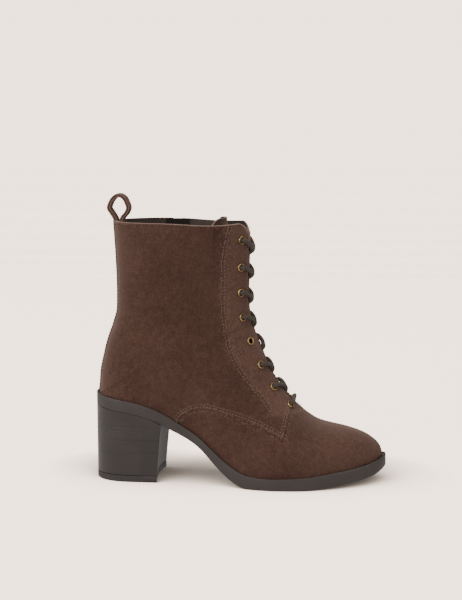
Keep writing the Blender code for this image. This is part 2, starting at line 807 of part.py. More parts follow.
# Upper


def row_keys():
    """The wall's rows, one of which lies at the foot of the throat."""
    foot = LAST.even_keys(0, 1, FOOT_ROWS)
    foot[np.argmin(abs(foot - THROAT_KEY))] = THROAT_KEY
    return np.concatenate([foot, LAST.even_keys(1, 2, BACK_ROWS)[1:]])


def wall_columns(key, shrink=0.0):
    """The arcs of a row, from the outer foot to the throat and from the throat to the inner foot."""
    low, high = LAST.limits(key)
    shares = np.array(COLUMN_SHARES)
    gap = min(half_gap(key) + shrink, -low / 2)
    outer = -gap + (low + shrink + gap) * shares
    inner = gap + (high - shrink - gap) * shares
    return np.concatenate([outer[::-1], inner])


def make_wall(name, out, within, finish, parent, shrink=0.0, first_row=0, open_from=THROAT_KEY):
    """The upper's wall between two distances from its surface, open at the throat."""
    keys = row_keys()[first_row:]
    keys[-1] -= shrink / (BOOT_HEIGHT - SEAT_HEIGHT)
    arcs = [wall_columns(key, shrink) for key in keys]
    faces = [[[wall_point(key, arc, d) for arc in row] for key, row in zip(keys, arcs)] for d in (out, -within)]
    for face in faces if not shrink else ():
        face[0] = [face[0][0]] * len(face[0])
        for key, row in zip(keys, face):
            row[-1] = row[0] if key >= 1 else row[-1]
    throat = len(COLUMN_SHARES) - 1
    gaps = {(i, throat) for i, key in enumerate(keys[:-1]) if key >= open_from - 1e-9}
    return shell(name, *faces, finish, parent, gaps)


def quarter_outline():
    """The quarters' shape in the side view, carried on past the upper's own edges."""
    seam = smooth_path([(row.along * SOLE_LENGTH, row.height * BOOT_HEIGHT) for row in SEAM], 2)
    beyond = [(SEAM_TOP.along, SEAM_TOP.height), (0.80, 1.1), (-0.1, 1.1), (-0.1, 0.15), (0.26, 0.15)]
    return [tuple(point) for point in seam] + [(x * SOLE_LENGTH, z * BOOT_HEIGHT) for x, z in beyond]


def corner_outline():
    """What the facings' round top corners leave out, in the side view."""
    edge, _, top = wall_point(2.0, half_gap(2.0))
    angles = np.linspace(0, math.pi / 2, 7)
    arc = [(edge - CORNER_ROUND * (1 - math.cos(a)), top - CORNER_ROUND * (1 - math.sin(a))) for a in angles]
    beyond = [(arc[-1][0], 2 * BOOT_HEIGHT), (SOLE_LENGTH, 2 * BOOT_HEIGHT), (SOLE_LENGTH, arc[0][1])]
    return arc + beyond


def eyelet_places():
    for side in (-1, 1):
        for row in range(EYELETS):
            key = key_below_collar(EYELET_TOP + row * EYELET_PITCH)
            yield side, row + 1, key, side * (half_gap(key) + EYELET_INSET)


def make_upper(finish, parent):
    upper = make_wall("upper", 0.0, WALL, finish, parent)
    quarters = helper(
        make_wall("quarter_layer", QUARTER_STEP, WALL / 2, None, parent, SHRINK, 4, THROAT_KEY - 0.12)
    )
    outline = helper(prism("quarter_outline", quarter_outline(), -BALL_WIDTH, BALL_WIDTH, parent))
    boolean(quarters, outline, "INTERSECT", "side view")
    boolean(upper, quarters, "UNION", "quarters")
    corners = helper(prism("facing_corners", corner_outline(), -BALL_WIDTH / 2, BALL_WIDTH / 2, parent))
    boolean(upper, corners, "DIFFERENCE", "facing corners")
    for side, row, key, arc in eyelet_places():
        place = place_on(wall_point(key, arc), LAST.normal(key, arc))
        radius = EYELET_BARREL + CLEARANCE
        cutter = cylinder(f"eyelet_hole_{side}_{row}", radius, 2 * WALL, EYELET_SIDES, place, parent)
        boolean(upper, helper(cutter), "DIFFERENCE", cutter.name)
    slot = (ZIP_ALONG - ZIP_SLOT / 2, 0, ZIP_FOOT), (ZIP_ALONG + ZIP_SLOT / 2, BALL_WIDTH, 1.1 * BOOT_HEIGHT)
    boolean(upper, helper(box("zip_slot", *slot, parent)), "DIFFERENCE", "zip slot")
    return upper


def cylinder(name, radius, reach, sides, place, parent):
    points = [
        place @ Vector((radius * math.cos(a), radius * math.sin(a), z))
        for z in (-reach, reach)
        for a in np.linspace(0, 2 * math.pi, sides, endpoint=False)
    ]
    faces = [tuple(range(sides)), tuple(range(sides, 2 * sides))]
    faces += [(i, (i + 1) % sides, sides + (i + 1) % sides, sides + i) for i in range(sides)]
    return new_object(name, mesh_from(name, points, faces), None, parent)


def make_tongue(finish, parent):
    """A thin layer behind the throat, from under the vamp to just above the collar. Its top is
    round and leans back from the facings."""
    throat = LAST.front_lengths[-1] - LAST.end(THROAT_KEY)
    even = np.linspace(throat + TONGUE_FOOT, TONGUE_ROUND, TONGUE_ROWS)
    depths = np.concatenate([even, TONGUE_TOP_ROWS * TONGUE_ROUND])
    grids = []
    for out in (-WALL - LINING_GAP, -WALL - LINING_GAP - TONGUE):
        grid = []
        for depth in depths:
            key = key_below_collar(max(depth - TONGUE_STAND, 0))
            lean = TONGUE_LEAN * smooth(1 - depth / LEAN_LENGTH) ** 2
            half = (TONGUE_WIDTH + (TONGUE_FOOT_WIDTH - TONGUE_WIDTH) * depth / depths[0]) / 2
            half *= 1 - TONGUE_TAPER * (1 - bulge(depth / TONGUE_ROUND, 2))
            above = np.array([0, 0, max(TONGUE_STAND - depth, 0)])
            row = [LAST.at(key, arc, out) + above for arc in np.linspace(-half, half, 7)]
            grid.append([point - (lean, 0, 0) for point in row])
        grids.append(grid)
    return shell("tongue", *grids, finish, parent)


# Fittings


def ribbon(name, path, thickness, width, material, parent):
    """A flat strip whose edge follows a path in the side view."""
    path = np.asarray(path)
    run = np.gradient(path, axis=0)
    run /= np.linalg.norm(run, axis=1)[:, None]
    across = np.stack([-run[:, 1], run[:, 0]], 1) * thickness / 2
    points = []
    for (x, z), (dx, dz) in zip(path, across):
        for side, y in ((1, -1), (1, 1), (-1, 1), (-1, -1)):
            points.append((x + side * dx, y * width / 2, z + side * dz))
    faces = [(0, 1, 2, 3), tuple(len(points) - k for k in (1, 2, 3, 4))]
    for k in range(0, len(points) - 4, 4):
        for i in range(4):
            j = (i + 1) % 4
            faces.append((k + i, k + j, k + 4 + j, k + 4 + i))
    return new_object(name, mesh_from(name, points, faces), material, parent)


def make_strap(finish, parent):
    """The strip over the back seam, from the sole's lip to the collar."""
    keys = [key for key in row_keys() if key >= 1]
    bed = LAST.start(1.0)[1]
    keys[0] += (SEAT_HEIGHT + CLEARANCE - bed) / (BOOT_HEIGHT - bed)
    from_seam = np.linspace(-1, 1, 5) * STRAP_WIDTH / 2
    grids = []
    for out in (QUARTER_STEP + CLEARANCE + STRAP, QUARTER_STEP + CLEARANCE):
        grid = []
        for key in keys:
            low, high = LAST.limits(key)
            grid.append([LAST.at(key, low - d if d <= 0 else high - d, out) for d in from_seam])
        grids.append(grid)
    return shell("back_strap", *grids, finish, parent)


def loop_path():
    """Round the loop and down inside the collar, as far as the inner leg reaches."""
    middle = float(back_line(BOOT_HEIGHT)) + WALL / 2
    spread, height = LOOP_SPREAD - LOOP, LOOP_HEIGHT - LOOP / 2
    ring = [(middle + row.along * spread, BOOT_HEIGHT + row.height * height) for row in LOOP_LINE]
    depths = BOOT_HEIGHT - LOOP_LEG * np.array([0.1, 0.5, 1.0])
    leg = [(float(back_line(z)) + WALL + LINING_GAP + LOOP / 2, z) for z in depths]
    return smooth_path([*ring, *leg], 2)


def make_loop(finish, parent):
    return ribbon("pull_loop", loop_path(), LOOP, LOOP_WIDTH, finish, parent)


def make_eyelets(finish, parent):
    """Brass rings, each with a barrel through the facing and a flange outside."""
    base = QUARTER_STEP + FLANGE_GAP
    end = -WALL - CLEARANCE
    profile = (
        (EYELET_HOLE, end),
        (EYELET_BARREL, end),
        (EYELET_BARREL, base),
        (EYELET_RADIUS, base),
        (EYELET_HOLE, base + EYELET_RIM),
    )
    for side, row, key, arc in eyelet_places():
        place = place_on(wall_point(key, arc), LAST.normal(key, arc))
        name = f"eyelet_{'inner' if side > 0 else 'outer'}_{row}"
        turned(name, profile, EYELET_SIDES, place, finish, parent)


def lace_point(row, arc, out):
    key = key_below_collar(EYELET_TOP + (row - 1) * EYELET_PITCH)
    return wall_point(key, arc, out)


def lace_strand(row, side):
    """From beside one eyelet over the facing's edge and the throat's middle to the other facing."""
    over = QUARTER_STEP + LACE / 2 + FLANGE_GAP
    gap = half_gap(key_below_collar(EYELET_TOP + (row - 0.5) * EYELET_PITCH))
    start = gap + EYELET_INSET - EYELET_RADIUS - CLEARANCE
    within = max(gap - LACE / 2 - CLEARANCE, CLEARANCE)
    steps = [
        LaceStep(0.10, side * start, over),
        LaceStep(0.34, side * (gap - LACE / 4), over),
        LaceStep(0.55, 0, LACE_SAG),
        LaceStep(0.66, -side * within, LACE_SAG / 2),
    ]
    if row == LACE_PLAIN_ROW and side < 0:
        steps = [LaceStep(0.42, side * within, LACE_SAG / 2), *steps[2:]]
    return smooth_path([lace_point(row + step.down, step.arc, step.out) for step in steps], 2)


def make_laces(finish, parent):
    """A crossing below each row but the last, and a bar between the lowest eyelets."""
    for row in range(1, EYELETS):
        first = tube(f"lace_crossing_{row}", lace_strand(row, -1), LACE / 2, LACE_SIDES, finish, parent)
        other = tube(f"lace_mate_{row}", lace_strand(row, 1), LACE / 2, LACE_SIDES, None, parent)
        boolean(first, helper(other), "UNION", "crossing")
    gap = half_gap(key_below_collar(EYELET_TOP + (EYELETS - 1) * EYELET_PITCH))
    reach = gap + EYELET_INSET - EYELET_RADIUS - CLEARANCE
    over = QUARTER_STEP + LACE / 2 + FLANGE_GAP
    bar = [lace_point(EYELETS, share * reach, over) for share in np.linspace(-1, 1, 7)]
    tube("lace_bar", bar, LACE / 2, LACE_SIDES, finish, parent)


# Zip on the inner side


def zip_strip(name, width, out, within, low, high, columns, finish, parent):
    across = ZIP_ALONG + np.linspace(-0.5, 0.5, columns) * width
    heights = np.linspace(low, high, ZIP_ROWS)
    grids = [[[LAST.at(*LAST.locate(x, z), d) for x in across] for z in heights] for d in (out, within)]
    return shell(name, *grids, finish, parent)


def zip_levels():
    """How far out of the upper's surface the tape, the chain and the slider reach."""
    tape = -WALL - LINING_GAP
    chain = tape + CLEARANCE + ZIP_CHAIN
    return tape, chain, chain + CLEARANCE + SLIDER


def slider_place():
    """Local X along the boot, local Y out of the wall and local Z up the zip."""
    middle = BOOT_HEIGHT - ZIP_STOP - SLIDER_LENGTH / 2
    key, arc = LAST.locate(ZIP_ALONG, middle)
    outwards = Vector((0, *LAST.normal(key, arc)[1:])).normalized()
    upwards = Vector((1, 0, 0)).cross(outwards)
    turn = Matrix((Vector((1, 0, 0)), outwards, upwards)).transposed().to_4x4()
    return Matrix.Translation(Vector(LAST.at(key, arc))) @ turn


def block(name, low, high, place, material, parent):
    obj = box(name, low, high, parent, material)
    obj.data.transform(place)
    return obj


def make_zip(cloth, metal, parent):
    tape, chain, slider = zip_levels()
    foot, top = ZIP_FOOT - ZIP_TAPE_WIDTH / 4, BOOT_HEIGHT - 2 * CLEARANCE
    zip_strip("zip_tape", ZIP_TAPE_WIDTH, tape, tape - ZIP_TAPE, foot, top, 5, cloth, parent)
    low, high = ZIP_FOOT + CLEARANCE, BOOT_HEIGHT - ZIP_STOP
    zip_strip("zip_chain", ZIP_CHAIN_WIDTH, chain, tape + CLEARANCE, low, high, 3, metal, parent)
    place = slider_place()
    half = SLIDER_WIDTH / 2, SLIDER_LENGTH / 2
    ends = (-half[0], chain + CLEARANCE, -half[1]), (half[0], slider, half[1])
    body = block("zip_slider", *ends, place, metal, parent)
    reach = BRIDGE_GAP / 2 + BRIDGE
    ends = (-BRIDGE_WIDTH / 2, slider - BRIDGE, -reach), (BRIDGE_WIDTH / 2, slider + BRIDGE_GAP + BRIDGE, reach)
    boolean(body, helper(block("slider_bridge", *ends, place, None, parent)), "UNION", "bridge")
    ends = (-BRIDGE_WIDTH, slider, -BRIDGE_GAP / 2), (BRIDGE_WIDTH, slider + BRIDGE_GAP, BRIDGE_GAP / 2)
    boolean(body, helper(block("bridge_gap", *ends, place, None, parent)), "DIFFERENCE", "gap")
    make_pull(metal, place @ Vector((0, slider + BRIDGE_GAP / 2, 0)), parent)


def make_pull(metal, hinge, parent):
    """The pull tab hangs from its own crossbar, which lies in the slider's bridge."""
    side, bar = PULL_WIDTH / 2, PULL / 2
    pull = box("zip_pull", (-side, -bar, bar - PULL_LENGTH), (side, bar, bar), parent, metal)
    free = BRIDGE_WIDTH / 2 + 2 * CLEARANCE
    window = box("pull_window", (-free, -PULL, -bar - PULL_WINDOW), (free, PULL, -bar), parent)
    boolean(pull, helper(window), "DIFFERENCE", "window")
    pull.location = window.location = hinge


def build():
    clear_scene()
    boot = bpy.data.objects.new("boot", None)
    bpy.context.scene.collection.objects.link(boot)
    boot.location = (-HEEL_LENGTH / 2, 0, 0)
    suede = material("suede", (0.080, 0.034, 0.024), 0.95)
    rubber = material("sole_rubber", (0.050, 0.042, 0.036), 0.55)
    heel = material("heel_stack", (0.048, 0.038, 0.033), 0.5)
    lining = material("lining", (0.012, 0.009, 0.008), 0.8)
    brass = material("antique_brass", (0.420, 0.270, 0.090), 0.35, 1.0)
    cord = material("lace_cord", (0.060, 0.050, 0.040), 0.9)
    tape = material("zip_tape", (0.030, 0.022, 0.018), 0.9)
    make_outsole(rubber, boot)
    make_heel(heel, boot)
    make_top_piece(rubber, boot)
    make_insole(lining, boot)
    make_upper(suede, boot)
    make_tongue(suede, boot)
    make_strap(suede, boot)
    make_loop(suede, boot)
    make_eyelets(brass, boot)
    make_laces(cord, boot)
    make_zip(tape, brass, boot)


build()
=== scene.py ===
# %% [markdown]
# # A lace-up ankle boot in suede
#
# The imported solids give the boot's exact form, joints and sizes. This file dresses them: it rebuilds the
# soft pieces finely from the same named sizes, adds stitches, the braided lace and the zip's teeth, and
# gives every surface the finish that the real boot shows. All lengths are metres.

import math
from collections import Counter, namedtuple

import bmesh
import bpy
import numpy as np
from mathutils import Matrix, Vector


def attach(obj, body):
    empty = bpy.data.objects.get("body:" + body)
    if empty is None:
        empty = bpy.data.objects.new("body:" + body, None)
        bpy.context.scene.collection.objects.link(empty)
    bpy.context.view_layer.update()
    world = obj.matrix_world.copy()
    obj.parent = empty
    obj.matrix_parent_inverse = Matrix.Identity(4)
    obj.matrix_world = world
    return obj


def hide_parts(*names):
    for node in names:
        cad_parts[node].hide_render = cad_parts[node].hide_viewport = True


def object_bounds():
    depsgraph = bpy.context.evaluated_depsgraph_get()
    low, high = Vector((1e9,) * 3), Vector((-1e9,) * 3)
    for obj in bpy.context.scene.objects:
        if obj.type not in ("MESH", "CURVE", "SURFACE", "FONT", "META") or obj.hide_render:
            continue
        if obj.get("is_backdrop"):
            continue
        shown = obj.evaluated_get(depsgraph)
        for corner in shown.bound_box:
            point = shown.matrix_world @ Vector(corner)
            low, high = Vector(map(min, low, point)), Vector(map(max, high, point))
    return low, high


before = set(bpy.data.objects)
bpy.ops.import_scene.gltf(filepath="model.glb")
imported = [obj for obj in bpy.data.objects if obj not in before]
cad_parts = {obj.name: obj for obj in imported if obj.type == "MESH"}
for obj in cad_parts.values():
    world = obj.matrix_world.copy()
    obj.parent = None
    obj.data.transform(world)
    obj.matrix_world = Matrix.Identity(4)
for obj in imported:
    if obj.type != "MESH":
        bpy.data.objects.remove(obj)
cad_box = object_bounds()
print("CAD box", [[round(float(v), 4) for v in corner] for corner in cad_box])

# %% [markdown]
# ## Named sizes
#
# A boot is made on a last, so its sizes come first and every surface is worked out from them. They are
# the solids' own sizes, repeated here because this file reads nothing but the frame. Distances along
# the boot are counted from the back of the heel, and `to_frame` moves them to the frame's origin.

# %% Sizes of sole, heel and upper
SOLE_LENGTH, BALL_WIDTH, SEAT_WIDTH, SEAT_HEIGHT = 0.2490, 0.0860, 0.0575, 0.0750
SOLE_EDGE, TOE_SPRING, HEEL_ROUND, TOE_ROUND = 0.0100, 0.0126, 0.0330, 0.0800
LIP_HEIGHT, LIP_WIDTH, FEATHER_INSET = 0.0012, 0.0012, 0.0031
HEEL_LENGTH, HEEL_WIDTH, BREAST_LEAN, BREAST_HOLLOW, TOP_PIECE = 0.0555, 0.0540, 0.0040, 0.0024, 0.0057
BOOT_HEIGHT, ANKLE_WIDTH, SHAFT_WIDTH, HEEL_CURVE = 0.2215, 0.0620, 0.0760, 0.0174
ANKLE_ROUND, COLLAR_ROUND, WALL, QUARTER_STEP = 0.0340, 0.0500, 0.0022, 0.0008
COLLAR_DIP, CORNER_ROUND, THROAT_GAP, COLLAR_GAP = 0.0020, 0.0090, 0.0070, 0.0180
CLEARANCE, BED_GAP, LINING_GAP, FLANGE_GAP = 0.0003, 0.0005, 0.0009, 0.0005
FACING_OUT = QUARTER_STEP + FLANGE_GAP


def to_frame(points):
    return np.asarray(points, float) - (HEEL_LENGTH / 2, 0, 0)


# %% [markdown]
# ## The tables of the last
#
# A last can't be drawn with one formula. Its plan, its underside, its back and front lines and its
# cross sections are short tables of shares, read with a smooth curve through their points.

# %% Tables
Plan = namedtuple("Plan", "along half centre")
PLAN = (
    Plan(0.000, 0.500, 0.000),
    Plan(0.160, 0.500, 0.000),
    Plan(0.257, 0.467, -0.006),
    Plan(0.360, 0.372, -0.026),
    Plan(0.460, 0.372, -0.035),
    Plan(0.560, 0.458, -0.021),
    Plan(0.640, 0.496, -0.001),
    Plan(0.720, 0.500, 0.018),
    Plan(0.800, 0.500, 0.036),
    Plan(0.900, 0.500, 0.048),
    Plan(1.000, 0.500, 0.058),
)
PLAN_SEAT_END, PLAN_BALL_START = 0.22, 0.50
TOE_POINT, TOE_BLUNT, HEEL_BLUNT = 1.7, 1.8, 2.3
Under = namedtuple("Under", "along rise toe edge")
UNDER = (
    Under(0.000, 1.000, 0.00, 1.00),
    Under(0.080, 0.951, 0.00, 1.00),
    Under(0.140, 0.915, 0.00, 1.00),
    Under(0.205, 0.840, 0.00, 1.00),
    Under(0.257, 0.743, 0.00, 1.00),
    Under(0.310, 0.635, 0.00, 0.90),
    Under(0.345, 0.556, 0.00, 0.86),
    Under(0.380, 0.452, 0.00, 0.92),
    Under(0.415, 0.312, 0.00, 1.06),
    Under(0.450, 0.178, 0.00, 1.18),
    Under(0.485, 0.070, 0.00, 1.24),
    Under(0.515, 0.014, 0.00, 1.20),
    Under(0.535, 0.000, 0.00, 1.14),
    Under(0.600, 0.000, 0.00, 1.00),
    Under(0.735, 0.000, 0.00, 1.12),
    Under(0.783, 0.000, 0.07, 1.18),
    Under(0.831, 0.000, 0.18, 1.20),
    Under(0.884, 0.000, 0.33, 1.18),
    Under(0.932, 0.000, 0.50, 1.16),
    Under(0.964, 0.000, 0.66, 1.16),
    Under(1.000, 0.000, 1.00, 1.16),
)
Back = namedtuple("Back", "rise forward")
BACK = (
    Back(0.000, 0.000),
    Back(0.040, 0.070),
    Back(0.125, 0.126),
    Back(0.220, 0.293),
    Back(0.317, 0.506),
    Back(0.413, 0.800),
    Back(0.505, 0.985),
    Back(0.620, 1.000),
    Back(0.790, 0.955),
    Back(1.000, 0.855),
)
Front = namedtuple("Front", "along height")
FRONT = (
    Front(0.9860, 0.122),
    Front(0.9765, 0.142),
    Front(0.9600, 0.160),
    Front(0.9360, 0.178),
    Front(0.9040, 0.193),
    Front(0.8550, 0.208),
    Front(0.8070, 0.2185),
    Front(0.7630, 0.233),
    Front(0.7270, 0.260),
    Front(0.6930, 0.294),
    Front(0.6650, 0.325),
    Front(0.6285, 0.377),
    Front(0.5940, 0.443),
    Front(0.5680, 0.519),
    Front(0.5460, 0.581),
    Front(0.5320, 0.642),
    Front(0.5275, 0.709),
    Front(0.5295, 0.813),
    Front(0.5320, 0.925),
    Front(0.5290, 1.000),
)
Section = namedtuple("Section", "foot rise front sole ankle shaft widest round shift")
SECTIONS = (
    Section(1.000, 0.00, None, 1.00, 0.00, 0.00, 0.10, 2.00, 0.058),
    Section(0.900, 0.00, None, 1.02, 0.00, 0.00, 0.14, 2.15, 0.052),
    Section(0.765, 0.00, None, 1.06, 0.00, 0.00, 0.20, 2.05, 0.048),
    Section(0.633, 0.00, 0.365, 1.08, 0.00, 0.00, 0.20, 1.95, 0.040),
    Section(0.500, 0.00, 0.455, 0.70, 0.42, 0.00, 0.22, 1.95, 0.032),
    Section(0.350, 0.00, 0.552, 0.10, 0.92, 0.00, 0.35, 2.00, 0.020),
    Section(0.200, 0.00, 0.640, 0.00, 1.00, 0.00, 0.48, 2.00, 0.010),
    Section(0.080, 0.00, 0.705, 0.00, 1.00, 0.00, 0.50, 2.05, 0.005),
    Section(0.000, 0.00, 0.755, 0.00, 1.00, 0.00, 0.50, 2.10, 0.000),
    Section(0.000, 0.15, 0.805, 0.00, 0.99, 0.00, 0.50, 2.10, 0.000),
    Section(0.000, 0.35, 0.868, 0.00, 0.92, 0.08, 0.50, 2.10, 0.000),
    Section(0.000, 0.60, 0.932, 0.00, 0.42, 0.55, 0.50, 2.15, 0.000),
    Section(0.000, 1.00, 1.000, 0.00, 0.00, 1.00, 0.50, 2.20, 0.000),
)
FOOT_BLEND, FAN_START, THROAT = 0.45, 0.765, 0.633
Line = namedtuple("Line", "along height")
SEAM = (
    Line(0.285, 0.190),
    Line(0.300, 0.250),
    Line(0.331, 0.280),
    Line(0.365, 0.294),
    Line(0.401, 0.2965),
    Line(0.452, 0.283),
    Line(0.530, 0.255),
    Line(0.614, 0.213),
    Line(0.657, 0.189),
)
SEAM_TOP = Line(0.684, 0.345)
FINE_ROWS, FINE_SAMPLES = 170, 120
DIP_START, DIP_PLACE, DIP_REACH = 1.8, 0.30, 0.18

# %% [markdown]
# ## Curves and paths
#
# Small helpers: a curve through a table without overshoot, the round start of a superellipse, and
# paths that can be smoothed and measured.

# %% Curve helpers


def through(rows, key, value, at):
    x = np.array([getattr(row, key) for row in rows], float)
    y = np.array([getattr(row, value) for row in rows], float)
    step = np.diff(x)
    slope = np.diff(y) / step
    tangent = np.zeros(len(x))
    tangent[0], tangent[-1] = slope[0], slope[-1]
    same = slope[:-1] * slope[1:] > 0
    tangent[1:-1] = np.where(same, 2 * slope[:-1] * slope[1:] / np.where(same, slope[:-1] + slope[1:], 1), 0)
    at = np.clip(np.asarray(at, float), x[0], x[-1])
    i = np.clip(np.searchsorted(x, at, side="right") - 1, 0, len(x) - 2)
    t = (at - x[i]) / step[i]
    rise = y[i] * (1 + 2 * t) * (1 - t) ** 2 + y[i + 1] * t**2 * (3 - 2 * t)
    return rise + step[i] * (tangent[i] * t * (1 - t) ** 2 - tangent[i + 1] * t**2 * (1 - t))


def smooth(t):
    t = np.clip(t, 0, 1)
    return t * t * (3 - 2 * t)


def bulge(t, power):
    return (1 - (1 - np.clip(t, 0, 1)) ** power) ** (1 / power)


def eased(count):
    return (1 - np.cos(np.linspace(0, math.pi, count + 1))) / 2


def path_lengths(points):
    return np.concatenate([[0], np.cumsum(np.linalg.norm(np.diff(points, axis=0), axis=1))])


def along_path(points, distances):
    lengths = path_lengths(points)
    return np.stack([np.interp(distances, lengths, points[:, i]) for i in range(points.shape[1])], 1)


def smooth_path(points, per_step=8):
    """A Catmull-Rom curve through the points."""
    p = np.asarray(points, float)
    p = np.concatenate([[2 * p[0] - p[1]], p, [2 * p[-1] - p[-2]]])
    t = np.linspace(0, 1, per_step, endpoint=False)[:, None]
    out = []
    for a, b, c, d in zip(p[:-3], p[1:-2], p[2:-1], p[3:]):
        curve = 2 * b + (c - a) * t + (2 * a - 5 * b + 4 * c - d) * t**2
        out.append(0.5 * (curve + (3 * b - a - 3 * c + d) * t**3))
    return np.concatenate([*out, [p[-2]]])


# %% [markdown]
# ## The sole's own lines
#
# The sole follows the last's underside: high under the heel, down over the arch, flat at the ball and
# up again at the toe. Its plan is wide at the ball, narrow at the waist and pointed at the toe.

# %% Sole lines


def sole_under(x):
    along = np.asarray(x) / SOLE_LENGTH
    waist = through(UNDER, "along", "rise", along) * (SEAT_HEIGHT - SOLE_EDGE)
    return waist + through(UNDER, "along", "toe", along) * TOE_SPRING


def sole_top(x):
    return sole_under(x) + through(UNDER, "along", "edge", np.asarray(x) / SOLE_LENGTH) * SOLE_EDGE


def sole_bed(x):
    return sole_top(x) - LIP_HEIGHT


def sole_half(x):
    along = np.asarray(x) / SOLE_LENGTH
    to_ball = smooth((along - PLAN_SEAT_END) / (PLAN_BALL_START - PLAN_SEAT_END))
    width = SEAT_WIDTH + (BALL_WIDTH - SEAT_WIDTH) * to_ball
    toe = np.clip((x - (SOLE_LENGTH - TOE_ROUND)) / TOE_ROUND, 0, 1)
    ends = bulge(x / HEEL_ROUND, HEEL_BLUNT) * (1 - toe**TOE_POINT) ** (1 / TOE_BLUNT)
    return width * through(PLAN, "along", "half", along) * ends


def sole_centre(x):
    return BALL_WIDTH * through(PLAN, "along", "centre", np.asarray(x) / SOLE_LENGTH)


def sole_ring(inset=0.0, stations=160):
    """The sole's plan, moved inwards: from the back along the outer side and back along the inner."""
    x = SOLE_LENGTH * eased(stations)
    outer, inner = sole_centre(x) - sole_half(x), sole_centre(x) + sole_half(x)
    ring = np.concatenate([np.stack([x, outer], 1), np.stack([x, inner], 1)[-2:0:-1]])
    run = np.roll(ring, -1, 0) - np.roll(ring, 1, 0)
    run /= np.linalg.norm(run, axis=1)[:, None]
    return ring + inset * np.stack([-run[:, 1], run[:, 0]], 1)


print("sole", round(2000 * float(sole_half(0.15)), 1), "mm wide at the ball")

# %% [markdown]
# ## The last
#
# The upper's surface is a fan of sections. Each starts on the sole or on the back line and ends on the
# front line, and its width comes from the sole, the ankle and the shaft. `key` counts the sections from
# the toe (0) over the heel (1) to the collar (2), and `arc` is the distance from the front line,
# negative on the outer side, so a seam, a crease or an eyelet can be placed as on a flat pattern.

# %% The last's surface


def back_line(z):
    bed = sole_bed(0.0)
    rise = (np.asarray(z) - bed) / (BOOT_HEIGHT - bed)
    return FEATHER_INSET + HEEL_CURVE * through(BACK, "rise", "forward", rise)


def front_path():
    tip_x = SOLE_LENGTH - FEATHER_INSET
    rows = [(row.along * SOLE_LENGTH, row.height * BOOT_HEIGHT) for row in FRONT]
    return smooth_path([(tip_x, float(sole_bed(tip_x)) + BED_GAP), *rows])


def feather():
    """The upper's foot in plan: stations along the boot with the half width and the centre."""
    ring = sole_ring(FEATHER_INSET)
    middle = len(ring) // 2
    outer, inner = ring[: middle + 1], np.concatenate([ring[:1], ring[: middle - 1 : -1]])
    x = ring[0, 0] + (ring[middle, 0] - ring[0, 0]) * eased(400)
    low, high = np.interp(x, outer[:, 0], outer[:, 1]), np.interp(x, inner[:, 0], inner[:, 1])
    return x, (high - low) / 2, (high + low) / 2


Keyed = namedtuple("Keyed", "key value")


def by_key(name, key):
    rows = [Keyed(1 - row.foot + row.rise, getattr(row, name)) for row in SECTIONS]
    return float(through(rows, "key", "value", key))


